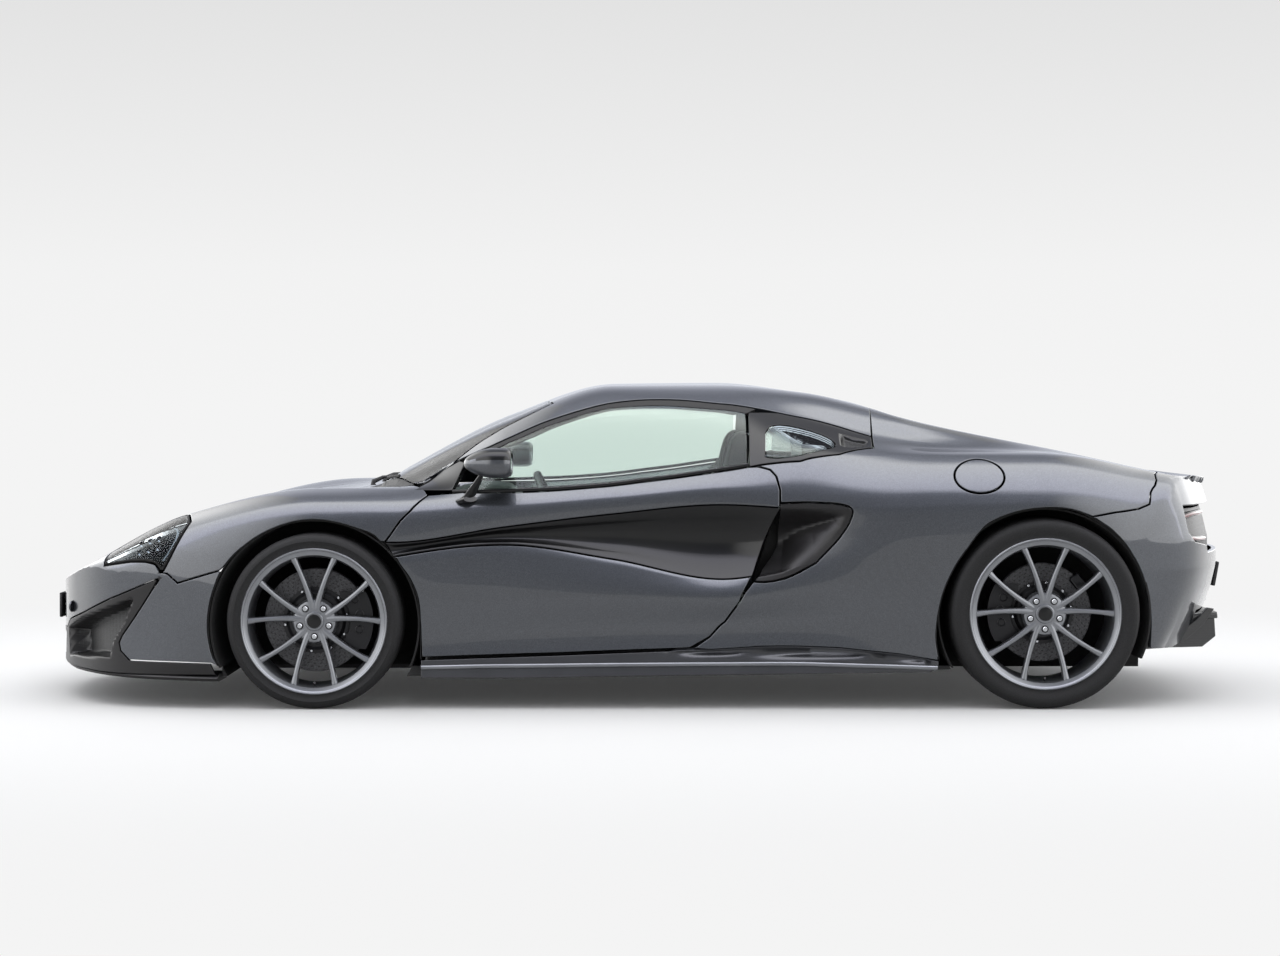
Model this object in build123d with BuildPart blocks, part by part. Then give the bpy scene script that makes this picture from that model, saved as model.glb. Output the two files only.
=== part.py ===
"""A mid-engined two-seat coupe with dihedral doors, at its real size, in millimetres.

The nose points along -Y, +X is the car's left side and +Z is up. The origin is on the ground,
halfway along the car. The outer panels are cut from one hull, a ruled loft of the sections in
SECTIONS that is trimmed by a plan outline and by a nose and tail profile. The left side is
modelled, and the right side is its mirror image.
"""

import os
from math import cos, radians, sin

from build123d import *

os.makedirs("parts", exist_ok=True)

# --- driving dimensions -------------------------------------------------------------------------
FRONT_AXLE_Y = -1190
REAR_AXLE_Y = 1480
HALF_LENGTH = 2265
PANEL = 30  # wall of a fixed skin panel
DOOR_DEPTH = 100  # whole door, shell and inner box
DOOR_BOX_INSET = 26  # inner box of a door inside its outline
GLASS = 6  # wall of a window
GAP = 6  # shut line beside a panel that moves
DOOR_GAP = 8  # shut line between a door and the panel that carries its hinge
DOOR_SWING_GAP = 13  # shut line round the rest of a door, whose edges rise as it opens
SEAM = 8  # shut line round a door window and above the skirt
FIT = 0.3  # between pieces of different bodies that bear on each other
REACH = 1400  # from the middle of the car, past its sides
FAR_Y = 2400  # past both ends of the car

# wheels, a value for each axle
AXLES = ("front", "rear")
AXLE_Y = {"front": FRONT_AXLE_Y, "rear": REAR_AXLE_Y}
TYRE_RADIUS = {"front": 321, "rear": 348}
TYRE_WIDTH = {"front": 225, "rear": 285}
LIP_RADIUS = {"front": 267, "rear": 277}
DISC_RADIUS = {"front": 190, "rear": 182}
DISC_X = {"front": 840, "rear": 820}  # middle of the disc
HUB_X = {"front": 872, "rear": 862}  # inner face of the hub
WHEEL_FACE_X = 950  # outer face of every tyre
RIM_WALL = 9
RIM_STEP = 22  # the well of the rim inside its lips
LIP_INSET = 6
BEAD_INSET = 14
BEAD_RISE = 16
SHOULDER = 14
SIDEWALL_LEAN = 2
SPOKES = 10
SPOKE_WIDTH = 22
SPOKE_DEPTH = 34
DISC_THICKNESS = 34
HUB_RADIUS = 82
HUB_LENGTH = 56
SPINDLE_RADIUS = 30
SPINDLE_END = {"front": 28, "rear": 38}  # behind the tyre face
BOLT_CIRCLE = 112
BOLTS = 5
BOLT_HOLE_RADIUS = 7.5
KNUCKLE_RADIUS = 60
UPRIGHT_RADIUS = 26
CALIPER_DEPTH = 94
CALIPER_OVER = 22
CALIPER_UNDER = 62
CALIPER_HEIGHT = 210
CALIPER_EDGE = 90
CALIPER_SIDE = {"front": 1, "rear": -1}  # behind the front axle, ahead of the rear one
BRACKET_WALL = 10
BRACKET_HALF_HEIGHT = 30

# wheel arches and their liners
ARCH_RADIUS = {"front": 384, "rear": 391}
ARCH_Z = {"front": 308, "rear": 343}
ARCH_IN_X = {"front": 520, "rear": 600}
LINER_WALL = 6
LINER_IN_X = {"front": 540, "rear": 640}
LINER_OUT_X = 915
LINER_FOOT_Z = 150

# suspension and frames under the skin
ARM_OUT_X = 768  # where the wishbones hold the knuckle, and the steering axis
ARM_DROP = 110
ARM_RISE = 120
ARM_SPREAD = 150
ARM_RADIUS = 13
ARM_EYE_RADIUS = 30
ARM_SINK = 10
RAIL_WIDTH = 60
RAIL_Z = {"front": (200, 290), "rear": (335, 415)}
TOWER_EDGE = 25  # of a wishbone tower past the wishbone ends
RAIL_X = {"front": 330, "rear": 380}
NOSE_BEAM_Y = -2150
TAIL_BEAM_Y = 2080
ENGINE_Y = (640, 1180)
ENGINE_Z = (160, 760)
GEARBOX_HALF_WIDTH = 200
GEARBOX_END_Y = 1850
GEARBOX_Z = (200, 560)

# cabin
FLOOR_Z = 150
FLOOR_TOP_Z = 190
TUB_Y = (-796, 600)
TUB_WALL = 40
TUB_FRONT_X = 510
TUB_REAR_X = 770
TUB_FRONT_TOP = 760
TUB_REAR_TOP = 1050
TUB_SECTION = ((0, FLOOR_Z), (TUB_REAR_X, FLOOR_Z), (TUB_REAR_X, 400), (740, 430), (640, 430), (600, 390),
               (590, FLOOR_TOP_Z), (0, FLOOR_TOP_Z))
SEAT_X = 370
SEAT_WIDTH = 430
SEAT_PROFILE = ((-330, 190), (-330, 330), (100, 270), (330, 850), (380, 1020), (470, 1020), (470, 800),
                (240, 190))
DASH_HALF_WIDTH = 640
DASH_FRONT_Y = TUB_Y[0] + TUB_WALL
DASH_PROFILE = ((DASH_FRONT_Y, 560), (DASH_FRONT_Y, 790), (-620, 800), (-520, 770), (-480, 700), (-560, 560))
CONSOLE_HALF_WIDTH = 110
CONSOLE_Y = (-600, 60)
CONSOLE_TOP_Z = 470
WHEEL_CENTRE = (SEAT_X, -330, 690)
COLUMN_AXIS = (0, 0.92, 0.39)
COLUMN_RADIUS = 24
COLUMN_LENGTH = 330
STEERING_RADIUS = 185
STEERING_RIM = 32
STEERING_SPOKE = 60
STEERING_BOSS = 75

# --- outer hull ---------------------------------------------------------------------------------
LINES = ("sill", "crease", "belly", "blade_low", "blade_deep", "blade_top",
         "shoulder", "belt", "rail_low", "rail_top", "roof_mid", "centre")
INNER_LINES = ("sill", "belly", "blade_top", "shoulder", "belt", "rail_low", "rail_top", "roof_mid",
               "centre")
# station y: (x, z) of each line in LINES
SECTIONS = {
    -2290: ((784, 121), (796, 197), (799, 262), (795, 317), (789, 332), (782, 353),
            (708, 380), (547, 396), (410, 407), (292, 412), (157, 416), (0, 418)),
    -2000: ((860, 116), (872, 210), (876, 300), (868, 380), (860, 420), (845, 460),
            (765, 525), (610, 552), (460, 558), (330, 560), (170, 562), (0, 563)),
    -1700: ((905, 112), (920, 230), (927, 340), (922, 440), (915, 500), (902, 560),
            (845, 648), (700, 697), (540, 692), (380, 685), (200, 680), (0, 678)),
    -1190: ((935, 112), (945, 250), (950, 380), (950, 480), (946, 540), (938, 610),
            (895, 742), (765, 800), (600, 785), (430, 770), (220, 760), (0, 757)),
    -1020: ((932, 112), (932, 240), (938, 380), (938, 520), (930, 560), (932, 608),
            (898, 740), (790, 799), (640, 800), (480, 800), (240, 802), (0, 803)),
    -900: ((928, 112), (918, 230), (925, 380), (926, 557), (908, 582), (926, 607),
           (900, 735), (805, 797), (650, 812), (560, 838), (300, 865), (0, 875)),
    -500: ((932, 112), (910, 265), (926, 400), (912, 601), (888, 622), (915, 645),
           (908, 740), (866, 796), (715, 985), (640, 1025), (340, 1062), (0, 1078)),
    -100: ((932, 118), (906, 285), (926, 420), (898, 548), (850, 615), (906, 698),
           (902, 765), (862, 821), (632, 1112), (545, 1164), (300, 1188), (0, 1196)),
    300: ((932, 124), (905, 305), (928, 420), (902, 475), (830, 600), (912, 744),
          (905, 800), (856, 868), (622, 1118), (525, 1168), (290, 1192), (0, 1200)),
    620: ((934, 128), (915, 330), (936, 450), (925, 530), (905, 640), (925, 730),
          (912, 790), (842, 914), (640, 1057), (540, 1138), (290, 1156), (0, 1162)),
    880: ((940, 132), (935, 330), (944, 470), (945, 580), (942, 660), (938, 730),
          (918, 790), (810, 920), (690, 985), (560, 1090), (430, 1098), (0, 1100)),
    1080: ((944, 134), (945, 330), (950, 470), (952, 590), (950, 670), (944, 735),
           (920, 800), (800, 924), (700, 955), (575, 1040), (470, 945), (0, 930)),
    1480: ((948, 150), (955, 330), (957, 470), (957, 600), (955, 680), (948, 745),
           (922, 805), (800, 925), (700, 940), (590, 958), (480, 905), (0, 890)),
    1900: ((915, 190), (935, 330), (938, 450), (934, 560), (927, 640), (915, 700),
           (885, 765), (790, 862), (700, 872), (580, 875), (420, 865), (0, 855)),
    2290: ((850, 249), (882, 330), (887, 450), (882, 548), (877, 616), (862, 688),
           (832, 747), (766, 812), (653, 820), (533, 819), (396, 819), (0, 818)),
}
# half plan outline: (x, y) where the arcs and lines start, pass and end
PLAN_NOSE = ((0, -HALF_LENGTH), (330, -2222), (600, -2125), (830, -1930), (930, -1560))
PLAN_SIDE = ((958, -1150), (948, -300), (958, 1400))
PLAN_TAIL = ((952, 1640), (905, 1880), (790, 2050), (420, 2205), (0, HALF_LENGTH))
# nose and tail in side view: (y, z)
NOSE_PROFILE = ((-2125, 500), (-2205, 440), (-2262, 385), (-HALF_LENGTH, 300), (-2240, 100))
TAIL_PROFILE = ((2085, 875), (2140, 842), (2190, 800), (HALF_LENGTH, 610), (2225, 420), (2130, 200),
                (1700, 120))
HULL_TOP = 1500

# --- shut lines, in side view (y, z) -------------------------------------------------------------
NOSE_SEAM_Y = -1400  # where the front bumper ends under the fender
DOOR_IN_X = 785
DOOR_ROOM_IN_X = 600
DOOR_CORNER = (840, 380, 525, 850)  # thinned rear top corner: x, y from, y to, z from
WINDOW_IN_X = 300
HINGE_CUT = ((-771, 783), (-837, 725), (-873, 689), (-909, 638), (-931, 612))
DOOR_FOOT = ((-800, 188), (-291, 204), (146, 221))
DOOR_TAIL = ((182, 222), (255, 263), (309, 318), (364, 391), (426, 474), (473, 565),
             (509, 674), (517, 747), (513, 838), (495, 882), (440, 890))
DOOR_BELT = ((396, 882), (300, 866), (-100, 819), (-500, 794), (-642, 794))
WINDOW_FRONT = ((-642, 794), (-521, 959))
WINDOW_TOP = ((-373, 1025), (-224, 1076), (-75, 1106), (75, 1111), (224, 1102), (400, 1083))
WINDOW_REAR = ((396, 882), (300, 866), (-100, 819), (-500, 794))
# black panel with a small window behind the door window, down to the haunch
QUARTER_WINDOW = ((400, 1083), (600, 1062), (750, 1025), (864, 990), (864, 950), (735, 927),
                  (588, 902), (440, 888), (396, 878))
ROOF = ((-853, 797), (-771, 783), (-642, 794), (-500, 794), (396, 878), (400, 1083), (600, 1062),
        (750, 1025), (864, 990), (872, 1300), (-853, 1300))
BUMPER_SEAM = ((-1775, 491), (-1732, 492), (-1692, 458), (-1532, 507))
HEADLAMP_IN_X = 600
HEADLAMP = ((-1986, 517), (-1893, 528), (-1837, 528), (-1800, 517), (-1775, 491), (-1666, 677),
            (-1666, 760), (-2050, 760))
FRONT_BUMPER = ((-FAR_Y, 0), (-FAR_Y, 900), (-1775, 900), *BUMPER_SEAM, (NOSE_SEAM_Y, 507), (NOSE_SEAM_Y, 0))
FRONT_FENDER = (*BUMPER_SEAM, (NOSE_SEAM_Y, 507), (-1190, 400), (-700, 400), (-700, 783), (-771, 783),
                (-853, 797), (-853, 900), (-1775, 900))
SKIRT = ((-812, 0), (-812, 180), (-291, 196), (146, 213), (250, 215), (437, 227), (728, 223),
         (946, 201), (1091, 176), (1091, 0))
SKIRT_IN_X = 840
REAR_QUARTER = ((100, 213), (250, 215), (437, 227), (728, 223), (946, 201), (1091, 176), (1480, 176),
                (1480, 690), (1600, 690), (1710, 714), (1822, 729), (1872, 740), (1863, 778), (1930, 832),
                (1995, 900), (1995, 1150), (872, 1150), (864, 990), (864, 950), (735, 927), (588, 902),
                (440, 888), (396, 878))
REAR_BUMPER = ((1480, 0), (1480, 690), (1600, 690), (1710, 714), (1822, 729), (1872, 740), (1863, 778),
               (1930, 832), (1995, 900), (FAR_Y, 900), (FAR_Y, 0))
INTAKE = ((525, 752), (586, 754), (728, 748), (775, 725), (771, 703), (749, 656), (709, 602),
          (655, 547), (582, 500), (527, 476), (455, 463))
INTAKE_RIM = 22
UNDERFLOOR_Y = (-1540, 1880)
BELLY_Z = 290  # side panels stop at SKIRT_IN_X below this height
BELLY_END_Y = 2100

# --- shut lines, in plan (x, y) ------------------------------------------------------------------
BONNET_OUTLINE = ((0, -1985), (300, -1965), (470, -1905), (560, -1700), (585, -1400), (590, -1060),
                  (0, -1060))
BONNET_LOW_Z = 400
COWL = ((0, -1061), (600, -1061), (640, -1010), (715, -850), (0, -850))
WINDSCREEN = ((0, -1012), (300, -985), (540, -915), (690, -838), (676, -700), (622, -500), (560, -330),
              (0, -365))
REAR_WINDOW = ((0, 880), (430, 880), (455, 1070), (0, 1070))
REAR_DECK = ((0, 1070), (455, 1070), (520, 1500), (600, 1960), (0, 1960))
WING = ((0, 1974), (690, 1974), (640, 2080), (330, 2165), (0, 2185))
DECK_LOW_Z = 700
SPLITTER = ((0, -2262), (330, -2222), (600, -2130), (830, -1940), (905, -1700), (925, -1540), (0, -1540))
SPLITTER_LOW_Z = 96
SPLITTER_TOP_Z = 126

# --- openings in the bumpers, in front view (x, z) -----------------------------------------------
CORNER_INTAKE = ((480, 190), (760, 200), (770, 330), (520, 300))
LOWER_INTAKE = ((-360, 170), (360, 170), (420, 250), (-420, 250))
INTAKE_REAR_Y = 1700
INTAKE_LENGTH = 700
PLATE_Z = {"front": 330, "rear": 450}
PLATE_WALL = 90  # deeper than the bumper at the plate holes
PLATE_HOLE_X = 190
PLATE_HOLE_RADIUS = 3
TAIL_OPENING_Y = 1900  # where the tail openings start
GRILLE_HALF_WIDTH = 620
GRILLE_Z = (560, 740)
LAMP_X = (630, 800)
LAMP_Z = (600, 720)
DIFFUSER_HALF_WIDTH = 620
DIFFUSER_LOW_Z = 170
DIFFUSER_TOP_Z = 330
DIFFUSER_Y = (1880, 2260)
DIFFUSER_BAYS = (-450, -150, 150, 450)
DIFFUSER_BAY_WIDTH = 260
DIFFUSER_BAY_HEIGHT = 120

# --- mirrors -------------------------------------------------------------------------------------
MIRROR_X = 950
MIRROR_Z = 895
MIRROR_SECTIONS = ((-455, 190, 118), (-540, 170, 100), (-640, 90, 50))  # y, width, height
MIRROR_ROUNDING = 0.4
MIRROR_STALK_Y = -590
MIRROR_STALK = ((780, 745), (905, 760), (960, 870), (920, 890))
MIRROR_STALK_CHORD = 70

# --- hinges: point, axis and sleeve length -------------------------------------------------------
PIN_RADIUS = 4
PIN_END = 14  # of a pin past its sleeve
BORE_END = 1  # of a bore past the end of its pin
SLEEVE_WALL = 4
SLEEVE_ROOM = 3
DOOR_HINGE = (892, -841, 728)
DOOR_AXIS = (0.35, -0.63, -0.69)
DOOR_SLEEVE = 24
DOOR_RELIEF = 18  # radius cleared from the door's edge round its hinge
DOOR_RELIEF_HALF = 45
DOOR_WEB = (881, -827, 711)  # where the web of the door's sleeve ends
DOOR_WEB_RADIUS = 6
BONNET_PIN = ((560, -1110, 774), (625, -1110, 774))
WING_PIN = ((625, 2024, 840), (700, 2024, 840))
LID_GAP = 10  # shut line of the bonnet and the rear wing, whose edges dip as they open
WING_SWING_GAP = 14  # more room behind the wing, whose lower edge swings out as it rises
FLAP_CENTRE = (873, 1243, 850)
FLAP_TILT = 46  # of the flap's face from the vertical
FLAP_RADIUS = 90
FLAP_WALL = 8
FLAP_CUT = 150  # half length of the cuts round the flap
FLAP_HOLE_RADIUS = 101
FLAP_HOLE_SHIFT = 4  # of the hole towards the hinge, where the open flap stands
FLAP_HINGE_DEPTH = 5
FLAP_HINGE_OUT = 3  # of the pin past the edge of the flap
FLAP_SLEEVE = 24
FLAP_PIN_RADIUS = 2.5
FLAP_PIN_END = 38
FLAP_SLEEVE_WALL = 2.5


def inset(points, depth):
    """The open line of (x, z) points, from the floor up to the centre line, moved inwards."""
    moved = []
    for i, (x, z) in enumerate(points):
        before = Vector(*points[max(i - 1, 0)])
        after = Vector(*points[min(i + 1, len(points) - 1)])
        along = (after - before).normalized()
        moved.append((x - along.Y * depth, z + along.X * depth))
    moved[0] = (moved[0][0], points[0][1] + depth)
    moved[-1] = (0, points[-1][1] - depth)
    return moved


def hull(depth=0):
    """The whole car as one solid, with its skin moved inwards by depth."""
    lines = LINES if depth == 0 else INNER_LINES
    with BuildPart() as body:
        for y, section in SECTIONS.items():
            points = [section[LINES.index(name)] for name in lines]
            half = inset(points, depth) if depth else list(points)
            floor = (0, half[0][1])
            mirrored = [(-x, z) for x, z in reversed(half[:-1])]
            with BuildSketch(Plane.XZ.offset(-y)):
                with BuildLine():
                    Polyline(*half, *mirrored, floor, close=True)
                make_face()
        loft(ruled=True)
        with BuildSketch():
            with BuildLine():
                ThreePointArc(PLAN_NOSE[0], PLAN_NOSE[1], PLAN_NOSE[2])
                ThreePointArc(PLAN_NOSE[2], PLAN_NOSE[3], PLAN_NOSE[4])
                Polyline(PLAN_NOSE[4], *PLAN_SIDE, PLAN_TAIL[0])
                ThreePointArc(PLAN_TAIL[0], PLAN_TAIL[1], PLAN_TAIL[2])
                ThreePointArc(PLAN_TAIL[2], PLAN_TAIL[3], PLAN_TAIL[4])
                mirror(about=Plane.YZ)
            make_face()
            if depth:
                offset(amount=-depth)
        extrude(amount=HULL_TOP, mode=Mode.INTERSECT)
        with BuildSketch(Plane.YZ):
            with BuildLine():
                Polyline(*NOSE_PROFILE, *reversed(TAIL_PROFILE), (HULL_TOP, HULL_TOP), (-HULL_TOP, HULL_TOP),
                         close=True)
            make_face()
            if depth:
                offset(amount=-depth)
        extrude(amount=REACH, both=True, mode=Mode.INTERSECT)
    return body.part


def side_prism(outline, x_from=0, x_to=REACH, grow=0):
    """A solid with a side-view outline of (y, z) points, grown all round, from x_from to x_to."""
    with BuildPart() as prism:
        with BuildSketch(Plane.YZ.offset(x_from)):
            with BuildLine():
                Polyline(*outline, close=True)
            make_face()
            if grow:
                offset(amount=grow)
        extrude(amount=x_to - x_from)
    return prism.part


def plan_prism(outline, z_from=0, z_to=HULL_TOP, grow=0):
    """A solid with a plan outline given for one half, on both sides, grown all round."""
    with BuildPart() as prism:
        with BuildSketch(Plane.XY.offset(z_from)):
            with BuildLine():
                Polyline(*outline)
                mirror(about=Plane.YZ)
            make_face()
            if grow:
                offset(amount=grow)
        extrude(amount=z_to - z_from)
    return prism.part


def box(x_from, x_to, y_from, y_to, z_from, z_to):
    """A block between two corners."""
    with BuildPart() as block:
        with BuildSketch(Plane.XY.offset(z_from)):
            with Locations(((x_from + x_to) / 2, (y_from + y_to) / 2)):
                Rectangle(x_to - x_from, y_to - y_from)
        extrude(amount=z_to - z_from)
    return block.part


def drum(y, z, radius, x_from, x_to):
    """A cylinder across the car."""
    with BuildPart() as cylinder:
        with BuildSketch(Plane.YZ.offset(x_from)):
            with Locations((y, z)):
                Circle(radius)
        extrude(amount=x_to - x_from)
    return cylinder.part


def rod(start, end, radius):
    """A round bar between two points."""
    line = Plane(origin=start, z_dir=Vector(*end) - Vector(*start))
    with BuildPart() as bar:
        with BuildSketch(line):
            Circle(radius)
        extrude(amount=(Vector(*end) - Vector(*start)).length)
    return bar.part


def along(point, axis, distance):
    """The point that far from another along an axis."""
    moved = Vector(*point) + Vector(*axis).normalized() * distance
    return (moved.X, moved.Y, moved.Z)


def hinge(point, axis, sleeve_length, pin_radius=PIN_RADIUS, pin_end=PIN_END, wall=SLEEVE_WALL):
    """A sleeve on the moving piece, the pin through it, the sleeve's room and the pin's bore."""
    half = sleeve_length / 2
    pin_half = half + pin_end
    ends = [[along(point, axis, -length), along(point, axis, length)]
            for length in (half, pin_half, half + SLEEVE_ROOM, pin_half + BORE_END)]
    sleeve = rod(*ends[0], pin_radius + wall)
    pin = rod(*ends[1], pin_radius)
    room = rod(*ends[2], pin_radius + wall + SLEEVE_ROOM)
    bore = rod(*ends[3], pin_radius + FIT)
    return sleeve, pin, room, bore


def cut_piece(stock, keep=(), remove=()):
    """The piece of stock inside every solid of keep and outside those of remove."""
    with BuildPart() as piece:
        add(stock)
        for solid in keep:
            add(solid, mode=Mode.INTERSECT)
        for solid in remove:
            add(solid, mode=Mode.SUBTRACT)
    return piece.part


def joined(*solids):
    """Solids that touch or overlap, as one."""
    with BuildPart() as piece:
        for solid in solids:
            add(solid)
    return piece.part


def other_side(solid):
    """The mirror image on the right side of the car."""
    with BuildPart() as piece:
        add(solid)
        mirror(about=Plane.YZ, mode=Mode.REPLACE)
    return piece.part


def save(name, solid):
    """Writes one piece under its own name."""
    solid.label = name
    export_step(solid, f"parts/{name}.step")


def save_pair(name, solid):
    """Writes a left piece and its mirror image."""
    save(f"{name}_left", solid)
    save(f"{name}_right", other_side(solid))


# --- skins that the panels are cut from ----------------------------------------------------------
outer_hull = hull()
inner_hull = hull(PANEL)
left_half = box(0, REACH, -FAR_Y, FAR_Y, 0, HULL_TOP)
left_hull = cut_piece(outer_hull, keep=[left_half])
skin = cut_piece(outer_hull, remove=[inner_hull])
left_skin = cut_piece(skin, keep=[left_half])
glass_skin = cut_piece(outer_hull, remove=[hull(GLASS)])
left_deep_skin = cut_piece(left_hull, remove=[hull(DOOR_DEPTH)])

arch = {axle: drum(AXLE_Y[axle], ARCH_Z[axle], ARCH_RADIUS[axle], ARCH_IN_X[axle], REACH) for axle in AXLES}
both_arches = {axle: joined(arch[axle], other_side(arch[axle])) for axle in AXLES}
door_outline = (*HINGE_CUT, *DOOR_FOOT, *DOOR_TAIL, *DOOR_BELT)
door_shape = side_prism(door_outline, DOOR_IN_X)
door_room = side_prism(door_outline, DOOR_ROOM_IN_X, grow=DOOR_GAP)
door_swing_room = side_prism(door_outline, DOOR_ROOM_IN_X, grow=DOOR_SWING_GAP)
window_outline = (*WINDOW_FRONT, *WINDOW_TOP, *WINDOW_REAR)
window_room = side_prism(window_outline, WINDOW_IN_X, grow=SEAM)
bonnet_shape = plan_prism(BONNET_OUTLINE, BONNET_LOW_Z)
bonnet_room = plan_prism(BONNET_OUTLINE, BONNET_LOW_Z, grow=LID_GAP)
windscreen_room = plan_prism(WINDSCREEN, BONNET_LOW_Z)
cowl_shape = plan_prism(COWL, BONNET_LOW_Z)
headlamp_shape = side_prism(HEADLAMP, HEADLAMP_IN_X)
both_headlamps = joined(headlamp_shape, other_side(headlamp_shape))
wing_shape = plan_prism(WING, DECK_LOW_Z)
wing_room_ahead = plan_prism(WING, DECK_LOW_Z, grow=LID_GAP)
wing_room = joined(wing_room_ahead, wing_room_ahead.moved(Location((0, WING_SWING_GAP, 0))))
rear_window_shape = plan_prism(REAR_WINDOW, DECK_LOW_Z)
deck_shape = plan_prism(REAR_DECK, DECK_LOW_Z)

# --- doors ---------------------------------------------------------------------------------------
door_sleeve, door_pin, door_sleeve_room, door_bore = hinge(DOOR_HINGE, DOOR_AXIS, DOOR_SLEEVE)
door_arch = drum(AXLE_Y["front"], ARCH_Z["front"], ARCH_RADIUS["front"] + GAP, DOOR_IN_X, REACH)
box_arch = drum(AXLE_Y["front"], ARCH_Z["front"], ARCH_RADIUS["front"] + DOOR_BOX_INSET, DOOR_IN_X, REACH)
door_box_shape = side_prism(door_outline, DOOR_IN_X, grow=-DOOR_BOX_INSET)
door_corner = box(DOOR_IN_X, DOOR_CORNER[0], DOOR_CORNER[1], DOOR_CORNER[2], DOOR_CORNER[3], HULL_TOP)
door_shell = cut_piece(left_skin, keep=[door_shape], remove=[door_arch])
door_box = cut_piece(left_deep_skin, keep=[door_box_shape], remove=[box_arch])
door_relief = rod(along(DOOR_HINGE, DOOR_AXIS, -DOOR_RELIEF_HALF),
                  along(DOOR_HINGE, DOOR_AXIS, DOOR_RELIEF_HALF), DOOR_RELIEF)
door_web = rod(DOOR_HINGE, DOOR_WEB, DOOR_WEB_RADIUS)
door_panel = cut_piece(joined(door_shell, door_box), remove=[door_relief, door_corner])
save_pair("door", cut_piece(joined(door_panel, door_sleeve, door_web), remove=[door_bore]))
save_pair("door_window", cut_piece(glass_skin, keep=[side_prism(window_outline, WINDOW_IN_X)]))

# mirror: a rounded head that tapers forwards, and a stalk that stands on the door
with BuildPart() as mirror_head:
    for y, width, height in MIRROR_SECTIONS:
        with BuildSketch(Plane.XZ.offset(-y)):
            with Locations((MIRROR_X, MIRROR_Z)):
                RectangleRounded(width, height, height * MIRROR_ROUNDING)
    loft(ruled=True)
with BuildPart() as mirror_stalk:
    with BuildSketch(Plane.XZ.offset(-MIRROR_STALK_Y)):
        with BuildLine():
            Polyline(*MIRROR_STALK, close=True)
        make_face()
    extrude(amount=MIRROR_STALK_CHORD / 2, both=True)
save_pair("mirror", cut_piece(joined(mirror_head.part, mirror_stalk.part), remove=[outer_hull]))

# --- nose ----------------------------------------------------------------------------------------
bonnet_pin = rod(*BONNET_PIN, PIN_RADIUS)
bonnet_bore = rod(along(BONNET_PIN[0], (1, 0, 0), -BORE_END), BONNET_PIN[1], PIN_RADIUS + FIT)
save("bonnet", cut_piece(skin, keep=[bonnet_shape], remove=[bonnet_bore, other_side(bonnet_bore)]))

front_bumper_shape = joined(side_prism(FRONT_BUMPER), other_side(side_prism(FRONT_BUMPER)))
intake_shapes = []
for outline in (CORNER_INTAKE, tuple((-x, z) for x, z in CORNER_INTAKE), LOWER_INTAKE):
    with BuildPart() as intake:
        with BuildSketch(Plane.XZ.offset(INTAKE_REAR_Y)):
            with BuildLine():
                Polyline(*outline, close=True)
            make_face()
        extrude(amount=INTAKE_LENGTH)
    intake_shapes.append(intake.part)
plate_holes = {}
for axle, end in (("front", -1), ("rear", 1)):
    outside = end * HALF_LENGTH
    inside = end * (HALF_LENGTH - PLATE_WALL)
    plate_holes[axle] = [rod((x, outside, PLATE_Z[axle]), (x, inside, PLATE_Z[axle]), PLATE_HOLE_RADIUS)
                         for x in (-PLATE_HOLE_X, PLATE_HOLE_X)]
save("front_bumper", cut_piece(skin, keep=[front_bumper_shape],
                               remove=[both_headlamps, bonnet_room, both_arches["front"],
                                       box(-REACH, REACH, -FAR_Y, NOSE_SEAM_Y, 0, SPLITTER_TOP_Z),
                                       box(-SKIRT_IN_X, SKIRT_IN_X, NOSE_BEAM_Y, NOSE_SEAM_Y, 0, BELLY_Z),
                                       *intake_shapes, *plate_holes["front"]]))
save("front_splitter", cut_piece(plan_prism(SPLITTER, SPLITTER_LOW_Z, SPLITTER_TOP_Z),
                                 remove=[both_arches["front"]]))
save_pair("headlamp", cut_piece(left_deep_skin, keep=[headlamp_shape], remove=[bonnet_room]))
save_pair("front_fender", joined(cut_piece(left_skin, keep=[side_prism(FRONT_FENDER)],
                                           remove=[headlamp_shape, bonnet_room, cowl_shape, windscreen_room,
                                                   door_room, arch["front"], door_sleeve_room]),
                                 door_pin, bonnet_pin))
save("cowl", cut_piece(skin, keep=[cowl_shape], remove=[bonnet_room, windscreen_room]))
save("windscreen", cut_piece(glass_skin, keep=[windscreen_room]))

# --- cabin skin ----------------------------------------------------------------------------------
roof_side = side_prism(ROOF)
save("roof", cut_piece(skin, keep=[joined(roof_side, other_side(roof_side))],
                       remove=[windscreen_room, cowl_shape, rear_window_shape, door_swing_room,
                               other_side(door_swing_room), window_room, other_side(window_room)]))
quarter_window_shape = side_prism(QUARTER_WINDOW, WINDOW_IN_X)
save_pair("quarter_window", cut_piece(cut_piece(glass_skin, keep=[left_half]), keep=[quarter_window_shape],
                                      remove=[window_room, door_swing_room, rear_window_shape]))
save("rear_window", cut_piece(glass_skin, keep=[rear_window_shape]))

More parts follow.
